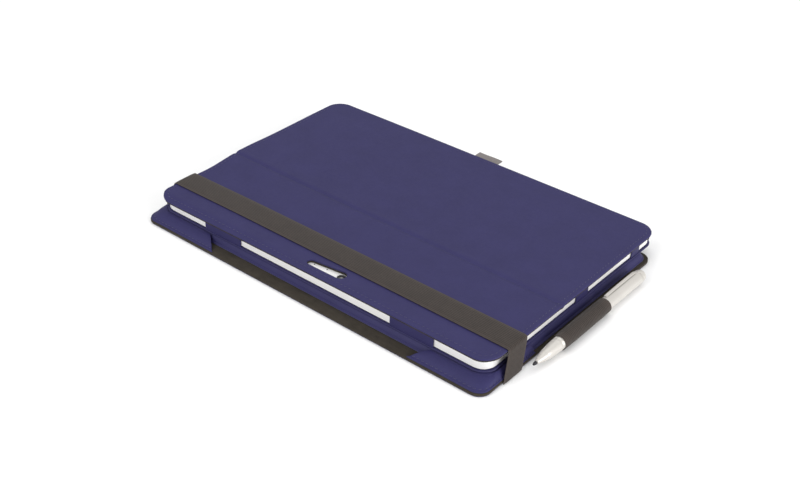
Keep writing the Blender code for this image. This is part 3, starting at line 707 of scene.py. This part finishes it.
def put(bm, name, body, slot, finish, stands_for=(), sharp=38.0, wear=True, walled=False):
    """Turn a bmesh drawn in millimetres into a finished piece that rides on its body, if it has one body.

    A walled piece was thickened from a sheet, so its faces are turned only as a whole."""
    bmesh.ops.remove_doubles(bm, verts=bm.verts[:], dist=0.0004)
    if not walled:
        bmesh.ops.recalc_face_normals(bm, faces=bm.faces[:])
    if bm.calc_volume(signed=True) < 0.0:
        bmesh.ops.reverse_faces(bm, faces=bm.faces[:])
    # This vertex attribute is 1 on convex edges; the materials paint those edges paler, as edge wear and a
    # painted highlight.
    if wear:
        layer = bm.verts.layers.float.new("wear")
        for vert in bm.verts:
            vert[layer] = min(max((vert.calc_shell_factor() - 1.0) * WEAR_AND_HIGHLIGHT_GAIN, 0.0), 1.0)
    bmesh.ops.scale(bm, verts=bm.verts[:], vec=(MM, MM, MM))
    mesh = bpy.data.meshes.new(name)
    bm.to_mesh(mesh)
    bm.free()
    mesh.shade_smooth()
    mesh.set_sharp_from_angle(angle=math.radians(sharp))
    mesh.materials.append(library(finish))
    obj = bpy.data.objects.new(name, mesh)
    bpy.context.scene.collection.objects.link(obj)
    if body:
        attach(obj, body)
    if stands_for:
        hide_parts(*stands_for)
    return obj


def smooth_copy(node, name, body, slot, finish):
    """A merged, smooth-shaded copy of a CAD node whose shape is right."""
    bm = bmesh.new()
    bm.from_mesh(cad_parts[node].data)
    bmesh.ops.scale(bm, verts=bm.verts[:], vec=(1 / MM, 1 / MM, 1 / MM))
    bmesh.ops.remove_doubles(bm, verts=bm.verts[:], dist=0.002)
    bmesh.ops.dissolve_limit(bm, angle_limit=math.radians(0.5), verts=bm.verts[:], edges=bm.edges[:])
    put(bm, name, body, slot, finish, (node,), sharp=30.0)


def sew(name, body, lines, closed=True, up=(0.0, 0.0, 1.0)):
    """Stitch along each line of points, all as one piece of thread."""
    bm = bmesh.new()
    for points in lines:
        stitch(bm, points, bpy.context.scene.case_sizes.stitch_pitch, closed, up)
    return put(bm, name, body, "leatherette", "navy thread", wear=False)


def ease(value, low, high):
    """0 below low and 1 above high, smoothly between."""
    t = min(max((value - low) / (high - low), 0.0), 1.0)
    return t * t * (3.0 - 2.0 * t)


def swell(value, middle, width):
    """Bell-shaped rise to 1 at middle."""
    return math.exp(-(((value - middle) / width) ** 2))


def panel_sag(x, y):
    """How far the back panel stands above its flat height, in millimetres."""
    left = 1.0 - ease(x, -150.0, -70.0)
    pressed = -0.75 * left * (1.0 - ease(y, -58.0, -28.0))
    bowed = 0.9 * left * swell(y, -11.0, 20.0)
    tucked = -0.3 * left * ease(y, 60.0, 99.0)
    fold = -0.75 * swell(y, CREASE_Y, 1.65) + 0.25 * swell(y, CREASE_Y + 3.6, 2.8)
    turned_down = 0.8 + 1.25 * (1.0 - ease(x, -95.0, 25.0))
    droop = -turned_down * (1.0 - ease(y, -104.5, -96.5)) - 0.15 * (1.0 - ease(y, -104.0, -70.0))
    wave = 0.06 * math.sin(x / 31.0 + y / 23.0) * math.cos(y / 41.0 - 0.6)
    return pressed + bowed + tucked + fold + droop + wave


def panel_creep(x, y):
    """How far the panel's left rim wanders towards the middle, in millimetres."""
    rim_share = 1.0 - ease(x, -150.0, -118.0)
    return rim_share * (1.2 * swell(y, -52.0, 20.0) - 0.9 * (1.0 - ease(y, -104.0, -80.0)))


def drape(bm):
    """Let a flat part of the back panel sag and creep."""
    for vert in bm.verts:
        x, y = vert.co.x, vert.co.y
        vert.co.z += panel_sag(x, y)
        vert.co.x += panel_creep(x, y)


# ---------------------------------------------------------------- settings


def length_setting(name, what, default, low, high):
    return bpy.props.FloatProperty(
        name=name, description=what + ", in millimetres", default=default, min=low, max=high)


def colour_setting(name, what, default):
    return bpy.props.FloatVectorProperty(
        name=name, description="Colour of " + what, subtype="COLOR", size=3, default=default,
        min=0.0, max=1.0)


class CaseSizes(bpy.types.PropertyGroup):
    """Sizes that a user would change."""

    grain: length_setting("Grain", "Width of one pebble of the leatherette's grain", 0.85, 0.2, 4.0)
    rib: length_setting("Elastic rib", "Spacing of the ribs woven into the elastic", 1.45, 0.4, 4.0)
    stitch_pitch: length_setting("Stitch spacing", "Distance from one stitch to the next", 3.6, 2.0, 10.0)
    stitch_inset: length_setting("Stitch inset", "Distance from a panel's edge to its seam", 3.4, 1.5, 10.0)
    strap_width: length_setting("Strap width", "Width of the elastic closing strap", 19.8, 8.0, 40.0)
    strap_thickness: length_setting("Strap thickness", "Thickness of the closing strap", 0.9, 0.4, 2.0)


class CaseColours(bpy.types.PropertyGroup):
    """Colours of the case's finishes."""

    leatherette: colour_setting("Leatherette", "the outer leatherette", (0.029, 0.026, 0.094))
    lining: colour_setting("Lining", "the microfibre lining", (0.0335, 0.0275, 0.0205))
    strap: colour_setting("Elastic", "the strap and the stylus loop", (0.0345, 0.0265, 0.0225))
    ribbon: colour_setting("Ribbon", "the pull tab", (0.2, 0.18, 0.175))
    thread: colour_setting("Thread", "the stitching", (0.033, 0.0295, 0.098))
    metal: colour_setting("Tablet metal", "the tablet's shell and kickstand", (0.86, 0.845, 0.83))
    stylus: colour_setting("Stylus metal", "the stylus's barrel and clip", (0.56, 0.535, 0.5))


# ---------------------------------------------------------------- pieces


class CASE_OT_front_cover(bpy.types.Operator):
    """Model the front cover: leatherette tray, microfibre lining and its rim stitching"""

    bl_idname = "case.front_cover"
    bl_label = "Front cover"

    def execute(self, context):
        bm = bmesh.new()
        levels = [(1.6, 0.0), (1.2, 0.0), (0.7, 0.1), (0.35, 0.3), (0.3, 0.55), (0.6, 0.8), (1.2, 0.85)]
        bridge(bm, [inset_rim(bm, COVER_SPAN, COVER_RADIUS, inset, z) for inset, z in levels])
        put(bm, "cover_skin", "front_cover", "leatherette", "navy leatherette", ("front_cover_skin",))
        lining = slab(COVER_SPAN, COVER_RADIUS, *COVER_LINING_Z, 0.5)
        put(lining, "cover_lining", "front_cover", "microfibre", "brown microfibre", ("front_cover_lining",),
            wear=False)
        sew("cover_stitching", "front_cover", [rim_points(COVER_SPAN, COVER_RADIUS, 3.2, 0.12)])
        return {"FINISHED"}


def surround_rim(bm, share, out, z):
    """Loop round the padded surround, share of the way from its foot to its top and pushed out by out."""
    half_x, near, far, radius = [low + (top - low) * share for low, top in zip(SURROUND_LOW, SURROUND_TOP)]
    return rim(bm, -half_x - out, half_x + out, near - out, far + out, radius + out, z)


class CASE_OT_surround(bpy.types.Operator):
    """Model the padded band round the keyboard, with its hem and stitching"""

    bl_idname = "case.surround"
    bl_label = "Keyboard surround"

    def execute(self, context):
        bm = bmesh.new()
        hole = (KEYBOARD_HOLE, KEYBOARD_HOLE_RADIUS)
        loops = [inset_rim(bm, *hole, 0.0, 2.9)]
        loops += [surround_rim(bm, *level) for level in SURROUND_PROFILE]
        loops += [inset_rim(bm, *hole, -0.5, 7.95), inset_rim(bm, *hole, 0.0, 7.7)]
        bridge(bm, loops, ring=True)
        put(bm, "surround", "front_cover", "leatherette", "navy leatherette", ("keyboard_surround",))
        half_x, near, far, radius = SURROUND_TOP
        outside = rim_points((-half_x, half_x, near, far), radius, 3.6, 8.14)
        sew("surround_stitching", "front_cover", [outside, rim_points(*hole, -2.2, 8.14)])
        return {"FINISHED"}


def pocket_rim(bm, share, out, z):
    """Loop of the corner pockets' slope, share of the way from the cover's rim to the tablet's edge."""
    foot = (COVER_SPAN[1] - 0.8, COVER_SPAN[2] + 0.8, COVER_RADIUS - 0.8)
    head = (TABLET_HALF[0] + 2.2, -TABLET_HALF[1] - 2.2, TABLET_RADIUS + 2.2)
    half_x, near, radius = [low + (high - low) * share for low, high in zip(foot, head)]
    return rim(bm, -half_x - out, half_x + out, near - out, POCKET_FAR, radius + out, z, 12)


def trim_pocket(bm, side, foot_end, head_end):
    """Keep only one corner of the slope, up to its slanted inner edge and its end along the side."""
    foot = Vector((side * foot_end, COVER_SPAN[2], 3.0))
    head = Vector((side * head_end, -TABLET_HALF[1] - 2.0, 8.2))
    normal = (head - foot).cross(Vector((0.0, 0.0, 1.0)))
    if normal.x * side > 0:
        normal = -normal
    trim(bm, foot, normal)
    trim(bm, (0.0, POCKET_SIDE_END, 0.0), (0.0, 1.0, 0.0))


class CASE_OT_pockets(bpy.types.Operator):
    """Model the two corner pockets: soft slopes with a rolled hem and a stitched edge"""

    bl_idname = "case.pockets"
    bl_label = "Corner pockets"

    def execute(self, context):
        for name, (side, foot_end, head_end) in POCKETS.items():
            bm = bmesh.new()
            loops = [pocket_rim(bm, *level) for level in POCKET_PROFILE]
            for first, second in zip(loops, loops[1:]):
                bmesh.ops.bridge_loops(bm, edges=first + second)
            trim_pocket(bm, side, foot_end, head_end)
            slice_up(bm, 0, [side * value for value in steps_between(foot_end, 140.0, 6.0)])
            slice_up(bm, 1, steps_between(-104.0, POCKET_SIDE_END, 6.0))
            thicken(bm, 0.75, 0.16)
            put(bm, name, "front_cover", "leatherette", "navy leatherette", (name,), sharp=45.0, walled=True)
            seam = self.seam_points(side, foot_end)
            sew(name + "_stitching", "front_cover", [seam], False, (side * 0.3, -0.5, 0.8))
        return {"FINISHED"}

    @staticmethod
    def seam_points(side, foot_end):
        """Line of the stitching low on the slope, from its inner edge round the corner to its far end."""
        line = bmesh.new()
        pocket_rim(line, 0.2, 0.25, 4.2)
        points = [vert.co.copy() for vert in line.verts if vert.co.x * side > 0 and vert.co.y < 0]
        line.free()
        points.sort(key=lambda p: math.atan2(p.y + 96.0, (p.x * side) - 134.0))
        first = Vector((side * (foot_end + 2.5), points[0].y, points[0].z))
        return [first, *points, Vector((points[-1].x, POCKET_SIDE_END - 1.0, points[-1].z))]


class CASE_OT_keyboard(bpy.types.Operator):
    """Model the keycaps, the rails between them and the touchpad"""

    bl_idname = "case.keyboard"
    bl_label = "Keyboard"

    def execute(self, context):
        rails = bmesh.new()
        for name, (middle, depth, start, units) in KEY_ROWS.items():
            low, high = middle - depth / 2, middle + depth / 2
            bm = bmesh.new()
            x = row_left = (start - ROW_UNITS / 2) * KEY_PITCH
            for number, unit in enumerate(units):
                left, right = x + KEY_GAP / 2, x + unit * KEY_PITCH - KEY_GAP / 2
                add_block(bm, (left, low, CAP_Z[0]), (right, high, CAP_Z[1]), 0.45, 0.55)
                x += unit * KEY_PITCH
                if number < len(units) - 1 or name in ("key_row_left", "space_bar"):
                    left, right = x - RAIL_HALF, x + RAIL_HALF
                    add_block(rails, (left, low - 0.3, RAIL_Z[0]), (right, high + 0.3, RAIL_Z[1]), 0.12)
            in_x, in_y = KEY_GAP / 2 + 0.2, 0.4
            add_block(bm, (row_left + in_x, low + in_y, WEB_Z[0]), (x - in_x, high - in_y, WEB_Z[1]), 0.1)
            put(bm, name + "_caps", name, "keycaps", "keycap plastic", (name,))
        put(rails, "deck_rails", "front_cover", "keyboard_plastic", "black plastic")
        pad = slab(TOUCHPAD_SPAN, 2.0, *TOUCHPAD_Z, 0.25, 6, 3)
        put(pad, "touchpad_plate", "touchpad", "touchpad", "touchpad glass", ("touchpad",))
        return {"FINISHED"}


class CASE_OT_spine(bpy.types.Operator):
    """Model the spine as two curved leatherette sheets between the cover's and the tablet's hinge lines"""

    bl_idname = "case.spine"
    bl_label = "Spine"

    def execute(self, context):
        (cover_y, cover_z), (tablet_y, tablet_z) = COVER_HINGE, TABLET_HINGE
        y, z = (cover_y + tablet_y) / 2 + 0.4, (cover_z + tablet_z) / 2 - 0.3
        lower = [(88.2, 2.9), (90.2, 2.75), (91.6, 2.5), (92.8, 2.9), (y, z), (y + 0.9, z + 0.6)]
        upper = [(y - 0.9, z - 0.6), (y, z), (101.0, 7.7), (101.9, 8.3), (101.4, 8.75), (99.2, 8.85)]
        halves = (
            ("spine_cover_half", lower, ("front_cover", "spine"), (89.9, 2.4), (92.9, 2.4), ("spine",)),
            ("spine_tablet_half", upper, ("spine", "tablet_unit"), (100.3, 7.4), (101.9, 9.0), ()),
        )
        for name, line, bodies, start, end, nodes in halves:
            points = soften([(-SPINE_HALF_X, *place) for place in line], 2)
            bm = thicken(ribbon(points, (2 * SPINE_HALF_X, 0.0, 0.0), 24), 0.8, 0.15)
            # The spine takes the darker leatherette copy, as painted shade.
            obj = put(bm, name, None, "leatherette", "shaded leatherette", nodes, walled=True)
            start, end = (Vector((0.0, *place)) * MM for place in (start, end))
            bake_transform(obj)
        return {"FINISHED"}


class CASE_OT_tablet(bpy.types.Operator):
    """Dress the tablet: shell, kickstand, camera lens, and black discs of painted shade for the microphone
    holes
    """

    bl_idname = "case.tablet"
    bl_label = "Tablet"

    def execute(self, context):
        smooth_copy("tablet_shell", "tablet_body", "tablet_unit", "silver", "matte silver")
        smooth_copy("kickstand", "kickstand_plate", "kick_flap", "silver", "matte silver")
        bezel = bmesh.new()
        bridge(bezel, self.lens_rings(bezel, BEZEL_LEVELS), ring=True)
        put(bezel, "camera_bezel", "tablet_unit", "lens", "black plastic")
        glass = bmesh.new()
        bridge(glass, self.lens_rings(glass, LENS_LEVELS))
        put(glass, "camera_lens", "tablet_unit", "lens", "camera glass", ("tablet_camera",))
        # Black discs on the shell stand in for the painted shade inside the two microphone holes.
        hole_shade_discs = bmesh.new()
        for place in MICROPHONES:
            bmesh.ops.create_cone(hole_shade_discs, cap_ends=True, segments=16, radius1=0.62, radius2=0.5, depth=0.3,
                                  matrix=Matrix.Translation((*place, TABLET_BACK)))
        put(hole_shade_discs, "microphone_hole_shade_discs", "tablet_unit", "lens", "black plastic")
        return {"FINISHED"}

    @staticmethod
    def lens_rings(bm, levels):
        """Circles about the lens's axis, one for each (radius, z) level."""
        made = [bmesh.ops.create_circle(bm, segments=32, radius=radius, matrix=Matrix.Translation((*LENS, z)))
                for radius, z in levels]
        return [edges_of(circle["verts"]) for circle in made]


def clip_line(edge, outward):
    """(across, z) line of a clip: up outside the tablet's edge and over its back."""
    wall, bend, tip = edge + outward * 0.85, edge - outward * 1.5, edge - outward * 4.0
    return soften([(wall, 9.1), (wall, 12.0), (wall, 16.5), (wall, 18.3), (bend, 18.28), (tip, 18.25)], 2)


class CASE_OT_screen_frame(bpy.types.Operator):
    """Model the leatherette frame that holds the tablet, and the clips that wrap its edge"""

    bl_idname = "case.screen_frame"
    bl_label = "Screen frame and clips"

    def execute(self, context):
        half_x, half_y = TABLET_HALF
        outer = ((-half_x - FRAME_LIP, half_x + FRAME_LIP, -half_y - FRAME_LIP, half_y + FRAME_LIP),
                 TABLET_RADIUS + FRAME_LIP)
        hole = (FRAME_HOLE, FRAME_HOLE_RADIUS)
        bm = bmesh.new()
        levels = [(1.2, 8.4), (0.5, 8.4), (0.15, 8.52), (0.0, 8.85), (0.15, 9.18), (0.5, 9.3), (1.2, 9.3)]
        loops = [inset_rim(bm, *hole, 0.0, 8.55), inset_rim(bm, *hole, -0.3, 8.4)]
        loops += [inset_rim(bm, *outer, *level) for level in levels]
        loops += [inset_rim(bm, *hole, -0.3, 9.3), inset_rim(bm, *hole, 0.0, 9.15)]
        bridge(bm, loops, ring=True)
        # The frame takes the darker leatherette copy, as painted shade.
        put(bm, "frame_skin", "tablet_unit", "leatherette", "shaded leatherette", ("screen_frame",))
        seams = [rim_points(*hole, -2.4, 8.37), rim_points(*outer, 3.0, 8.37)]
        sew("frame_stitching", "tablet_unit", seams, up=(0, 0, -1))
        for place, (x0, x1) in CLIPS_NEAR.items():
            line = [(x0, across, z) for across, z in clip_line(-half_y, -1)]
            self.add_clip(f"clip_{place}", ribbon(line, (x1 - x0, 0, 0), 6), "navy leatherette")
        for side, hand in ((-1, "left"), (1, "right")):
            for place, (y0, y1) in CLIPS_SIDE.items():
                line = [(across, y0, z) for across, z in clip_line(side * half_x, side)]
                # The side clips take the darker leatherette copy, as painted shade; the near clips keep the
                # plain navy.
                self.add_clip(f"clip_{hand}_{place}", ribbon(line, (0, y1 - y0, 0), 3), "shaded leatherette")
        return {"FINISHED"}

    @staticmethod
    def add_clip(node, sheet, finish):
        bm = thicken(sheet, 0.45, 0.12)
        put(bm, node + "_skin", "tablet_unit", "leatherette", finish, (node,), walled=True)


def slot_cutter():
    """Tapered solid of the camera slot: the hull of two discs, above and below the panel."""
    bm = bmesh.new()
    for x, y, radius in (SLOT_LEFT, SLOT_RIGHT):
        for z in SLOT_CUT_Z:
            bmesh.ops.create_circle(bm, segments=32, radius=radius, matrix=Matrix.Translation((x, y, z)))
    hull = bmesh.ops.convex_hull(bm, input=bm.verts[:])
    spare = [vert for vert in only(bmesh.types.BMVert, hull["geom_interior"]) if vert.is_valid]
    bmesh.ops.delete(bm, geom=spare, context="VERTS")
    return bm


def near_slot(point, reach):
    """Whether a point is within reach of the slot's outline."""
    (xa, ya, ra), (xb, yb, rb) = SLOT_LEFT, SLOT_RIGHT
    share = min(max((point.x - xa) / (xb - xa), 0.0), 1.0)
    centre = Vector((xa + (xb - xa) * share, ya + (yb - ya) * share))
    return abs((Vector(point.xy) - centre).length - (ra + (rb - ra) * share)) < reach


class CASE_OT_back_panel(bpy.types.Operator):
    """Model the back panel: one skin over the crease, its lining, edge stitching and camera slot"""

    bl_idname = "case.back_panel"
    bl_label = "Back panel"

    def execute(self, context):
        skin = cut_out(slab(PANEL_SPAN, PANEL_RADIUS, *PANEL_Z, 0.7, 12), slot_cutter())
        lip = [e for e in sharp_edges(skin, 57.3) if all(near_slot(v.co, 1.2) for v in e.verts)]
        round_off(skin, lip, 0.5, 3)
        self.bend(skin)
        obj = put(skin, "panel_skin", None, "leatherette", "navy leatherette",
                  ("back_panel", "flap_panel", "crease_strip"))
        self.cross_crease(obj)
        x0, x1, y0, y1 = PANEL_SPAN
        inside = (x0 + LINING_INSET, x1 - LINING_INSET, y0 + LINING_INSET, y1 - LINING_INSET)
        lining = cut_out(slab(inside, PANEL_RADIUS - LINING_INSET, *LINING_Z, 0.3, 12, 2), slot_cutter())
        self.bend(lining)
        obj = put(lining, "panel_lining", None, "microfibre", "brown microfibre",
                  ("back_panel_lining", "flap_lining"), wear=False)
        self.cross_crease(obj)
        inset = context.scene.case_sizes.stitch_inset
        path = self.densify(rim_points(PANEL_SPAN, PANEL_RADIUS, inset, PANEL_Z[1] + 0.03, 12))
        bent = [p + Vector((panel_creep(p.x, p.y), 0.0, panel_sag(p.x, p.y))) for p in path]
        self.cross_crease(sew("panel_stitching", None, [bent]))
        return {"FINISHED"}

    @staticmethod
    def cross_crease(obj):
        """Bake the placement of a piece that spans the crease, from the fixed section to the flap, into its
        mesh.
        """
        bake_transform(obj)

    @staticmethod
    def bend(bm):
        """Cut a flat plate finely enough to sag, and drape it."""
        slice_up(bm, 0, steps_between(-150.0, 150.0, PANEL_SLICES["across"]))
        slice_up(bm, 1, RIM_SLICES)
        slice_up(bm, 1, steps_between(RIM_SLICES[-1], CREASE_Y - 7.0, PANEL_SLICES["fixed"]))
        slice_up(bm, 1, [CREASE_Y + count * PANEL_SLICES["crease"] for count in range(-9, 10)])
        slice_up(bm, 1, steps_between(CREASE_Y + 7.0, 99.0, PANEL_SLICES["flap"]))
        drape(bm)

    @staticmethod
    def densify(points):
        """Points a few millimetres apart round a closed line."""
        dense = []
        for first, second in zip(points, points[1:] + points[:1]):
            count = max(int((second - first).length / 3.0), 1)
            dense += [first.lerp(second, i / count) for i in range(count)]
        return dense


class CASE_OT_pull_tab(bpy.types.Operator):
    """Model the pull tab: a ribbon folded back on itself and sewn under the panel's far edge"""

    bl_idname = "case.pull_tab"
    bl_label = "Pull tab"

    def execute(self, context):
        line = soften([(94.0, 19.05), (101.0, 18.95), (106.6, 18.85), (107.7, 19.5), (106.6, 20.2),
                       (101.0, 19.95), (98.6, 19.6)], 2)
        bm = thicken(ribbon([(-9.9, y, z) for y, z in line], (21.0, 0.0, 0.0), 10), 0.42, 0.1)
        for vert in bm.verts:
            vert.co.z += 0.12 * math.sin(vert.co.x / 3.4) * ease(vert.co.y, 99.0, 104.0)
        put(bm, "pull_ribbon", "kick_flap", "webbing", "grey ribbon", ("pull_tab",), walled=True)
        return {"FINISHED"}


def woven_strip(stations, half_width, half_thick):
    """Flat strip with rounded edges through (matrix, distance along) stations, with weave coordinates."""
    bm = bmesh.new()
    weave = bm.verts.layers.float_vector.new("weave")
    selvedge = bm.verts.layers.float.new("selvedge")
    loops = []
    for place, along in stations:
        made = bmesh.ops.create_grid(bm, x_segments=8, y_segments=1, size=1.0)["verts"]
        faces = list(dict.fromkeys(face for vert in made for face in vert.link_faces))
        bmesh.ops.delete(bm, geom=faces, context="FACES_ONLY")
        inner = [e for e in edges_of(made)
                 if abs(e.verts[0].co.x - e.verts[1].co.x) < 1e-6 and abs(e.verts[0].co.x) < 0.99]
        bmesh.ops.delete(bm, geom=inner, context="EDGES")
        for vert in made:
            across, up = vert.co.x, vert.co.y
            thin = 1.0 - 0.55 * abs(across) ** 6
            vert[weave] = Vector((along, across * half_width, up)) * MM
            vert[selvedge] = abs(across) ** 14
            vert.co = place @ Vector((across * half_width, up * half_thick * thin, 0.0))
        loops.append(edges_of(made))
    bridge(bm, loops, rise=0.0)
    return bm


def follow(run, place):
    """Stations of a strip along an (x, z) run, where place gives its y and its lift at a point of the run."""
    line = soften([(x, 0.0, z) for x, z in run], 1)
    across = Vector((0.0, 1.0, 0.0))
    stations, along = [], 0.0
    for index, (x, _, z) in enumerate(line):
        before, after = line[max(index - 1, 0)], line[min(index + 1, len(line) - 1)]
        way = Vector((after[0] - before[0], 0.0, after[2] - before[2])).normalized()
        turn = Matrix((across, way.cross(across), way)).transposed().to_4x4()
        if index:
            along += math.hypot(x - line[index - 1][0], z - line[index - 1][2])
        y, lift = place(x, z)
        stations.append((Matrix.Translation((x, y, z + lift)) @ turn, along))
    return stations


def strap_place(x, z):
    """The strap's y, further from the free edge as it climbs, and its lift where it lies on the panel."""
    climb = ease(z, 0.0, 21.7) * 0.5 + 0.5 * min(max(z / 21.7, 0.0), 1.0)
    y = STRAP_FOOT_Y + STRAP_CLIMB_Y * climb
    return y, panel_sag(x, y) * ease(z, 17.0, 21.5)


class CASE_OT_strap(bpy.types.Operator):
    """Model the elastic strap from the cover's left rim over the back panel to its right rim"""

    bl_idname = "case.strap"
    bl_label = "Closing strap"

    def execute(self, context):
        sizes = context.scene.case_sizes
        side = [(153.9, 0.75), (153.95, 2.2), (153.6, 5.0), (152.2, 13.0), (151.3, 18.3), (151.15, 20.4),
                (150.4, 21.5), (148.8, STRAP_TOP_Z)]
        run = [(-x, z) for x, z in side]
        run += [(x, STRAP_TOP_Z) for x in range(-140, 141, 10)]
        run += reversed(side)
        bm = woven_strip(follow(run, strap_place), sizes.strap_width / 2, sizes.strap_thickness / 2)
        obj = put(bm, "strap", "front_cover", "elastic", "brown elastic", ("closing_strap",), sharp=60.0,
                  wear=False)
        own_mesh(obj)
        return {"FINISHED"}


class CASE_OT_stylus(bpy.types.Operator):
    """Model the stylus: tapered barrel, nib, end button and pocket clip"""

    bl_idname = "case.stylus"
    bl_label = "Stylus"

    def execute(self, context):
        y0, y1 = STYLUS_Y
        metal = ("stylus_metal", "pale stylus metal")
        barrel = self.from_end(y0, BARREL_NEAR) + self.from_end(y1, BARREL_FAR)
        put(self.turn(barrel), "stylus_body", "stylus", *metal, ("stylus_barrel",), sharp=50)
        nib = self.from_end(y0, NIB)
        put(self.turn(nib, 24), "stylus_tip", "stylus", "nib", "dark nib", ("stylus_nib",))
        put(self.turn(self.from_end(y1, BUTTON)), "stylus_end", "stylus_button", *metal, ("stylus_button",))
        line = soften([(STYLUS_X - 2.7, y1 + y, z) for y, z in CLIP_LINE], 2)
        clip = thicken(ribbon(line, (2.2, 0.0, 0.0), 4), 0.6, 0.18)
        put(clip, "stylus_pocket_clip", "stylus", *metal, ("stylus_clip",), walled=True)
        return {"FINISHED"}

    @staticmethod
    def from_end(end, profile):
        """(radius, y) points whose y is counted from one end of the stylus."""
        return [(radius, end + y) for radius, y in profile]

    @staticmethod
    def turn(profile, steps=40):
        return turned(profile, (STYLUS_X, STYLUS_Z), steps)


class CASE_OT_stylus_loop(bpy.types.Operator):
    """Model the elastic loop that holds the stylus at the cover's rim"""

    bl_idname = "case.stylus_loop"
    bl_label = "Stylus loop"

    def execute(self, context):
        run = [(152.9, 1.05), (154.2, 1.3), (155.3, 2.0)]
        for step in range(LOOP_STEPS + 1):
            angle = math.radians(LOOP_START + LOOP_SWEEP * step / LOOP_STEPS)
            run.append((STYLUS_X + LOOP_RADIUS * math.cos(angle), STYLUS_Z + LOOP_RADIUS * math.sin(angle)))
        run += [(154.35, 3.0), (153.6, 2.2), (152.9, 1.85)]
        middle, half = (LOOP_Y[0] + LOOP_Y[1]) / 2, (LOOP_Y[1] - LOOP_Y[0]) / 2
        bm = woven_strip(follow(run, lambda x, z: (middle, 0.0)), half, 0.33)
        put(bm, "stylus_sleeve", "front_cover", "elastic", "brown elastic", ("stylus_loop",), sharp=60.0,
            wear=False)
        return {"FINISHED"}


class CASE_OT_inner_parts(bpy.types.Operator):
    """Give the CAD parts that keep their own shape their materials"""

    bl_idname = "case.inner_parts"
    bl_label = "Inner parts"

    finishes = {
        "front_cover_board": "grey board", "keyboard_base": "black plastic", "keyboard_deck": "black plastic",
        "keyboard_circuit": "green circuit", "dome_sheet": "grey silicone", "keyboard_battery": "foil pouch",
        "tablet_battery": "foil pouch", "tablet_circuit": "green circuit", "tablet_screen": "dark glass",
    }

    def execute(self, context):
        for node, finish in self.finishes.items():
            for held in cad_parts[node].material_slots:
                held.material = library(finish)
        return {"FINISHED"}


class CASE_OT_stage(bpy.types.Operator):
    """Set the pale floor, the soft studio lights and the camera"""

    bl_idname = "case.stage"
    bl_label = "Studio"

    azimuth, elevation = 41.963, 33.655
    eye = (0.45727, -0.59254, 0.48235)
    lens, sensor_width, shift_x = 54.70, 36.0, 0.0925
    floor_half = 4.0
    air_strength = 0.62
    lights = (
        ("key", (-0.4, -1.5, 1.2), 1.6, 19.0),
        ("fill", (1.75, 0.05, 0.5), 1.4, 27.0),
        ("top", (-0.3, 0.6, 1.7), 2.0, 9.0),
    )

    def execute(self, context):
        scene = context.scene
        floor = bmesh.new()
        bmesh.ops.create_grid(floor, x_segments=8, y_segments=8, size=self.floor_half)
        mesh = bpy.data.meshes.new("floor")
        floor.to_mesh(mesh)
        floor.free()
        mesh.materials.append(library("studio paper"))
        ground = bpy.data.objects.new("floor", mesh)
        scene.collection.objects.link(ground)
        for light in self.lights:
            self.add_light(*light)
        world = bpy.data.worlds.new("studio air")
        world.use_nodes = True
        air = world.node_tree.nodes["Background"]
        air.inputs["Color"].default_value = (1.0, 1.0, 1.0, 1.0)
        air.inputs["Strength"].default_value = self.air_strength
        scene.world = world
        scene.view_settings.view_transform = "Standard"
        camera = bpy.data.cameras.new("camera")
        camera.lens, camera.sensor_width, camera.shift_x = self.lens, self.sensor_width, self.shift_x
        camera.clip_start, camera.clip_end = 0.01, 50.0
        rig = bpy.data.objects.new("camera", camera)
        turn, tilt = math.radians(self.azimuth), math.radians(self.elevation)
        look = Vector((-math.sin(turn) * math.cos(tilt), math.cos(turn) * math.cos(tilt), -math.sin(tilt)))
        rig.rotation_euler = look.to_track_quat("-Z", "Y").to_euler()
        rig.location = self.eye
        scene.collection.objects.link(rig)
        scene.camera = rig
        return {"FINISHED"}

    @staticmethod
    def add_light(name, place, size, power):
        lamp = bpy.data.lights.new(name, "AREA")
        lamp.shape, lamp.size, lamp.energy = "DISK", size, power
        holder = bpy.data.objects.new(name, lamp)
        holder.location = place
        holder.rotation_euler = (-Vector(place)).to_track_quat("-Z", "Y").to_euler()
        bpy.context.scene.collection.objects.link(holder)


class CASE_PT_panel(bpy.types.Panel):
    """Lists the steps that build the case"""

    bl_label = "Tablet case"
    bl_idname = "CASE_PT_panel"
    bl_space_type = "VIEW_3D"
    bl_region_type = "UI"
    bl_category = "Case"

    def draw(self, context):
        layout = self.layout
        for settings in (context.scene.case_sizes, context.scene.case_colours):
            for name in settings.__annotations__:
                layout.prop(settings, name)
        for step in STEPS:
            layout.operator(step.bl_idname)


STEPS = (
    CASE_OT_stage, CASE_OT_front_cover, CASE_OT_surround, CASE_OT_pockets, CASE_OT_keyboard, CASE_OT_spine,
    CASE_OT_tablet, CASE_OT_screen_frame, CASE_OT_back_panel, CASE_OT_pull_tab, CASE_OT_strap, CASE_OT_stylus,
    CASE_OT_stylus_loop, CASE_OT_inner_parts,
)
CLASSES = (CaseSizes, CaseColours, *STEPS, CASE_PT_panel)


def register():
    for item in CLASSES:
        bpy.utils.register_class(item)
    bpy.types.Scene.case_sizes = bpy.props.PointerProperty(type=CaseSizes)
    bpy.types.Scene.case_colours = bpy.props.PointerProperty(type=CaseColours)


def unregister():
    del bpy.types.Scene.case_colours
    del bpy.types.Scene.case_sizes
    for item in reversed(CLASSES):
        bpy.utils.unregister_class(item)


def main():
    register()
    for step in STEPS:
        group, name = step.bl_idname.split(".")
        getattr(getattr(bpy.ops, group), name)()


if __name__ == "__main__":
    main()
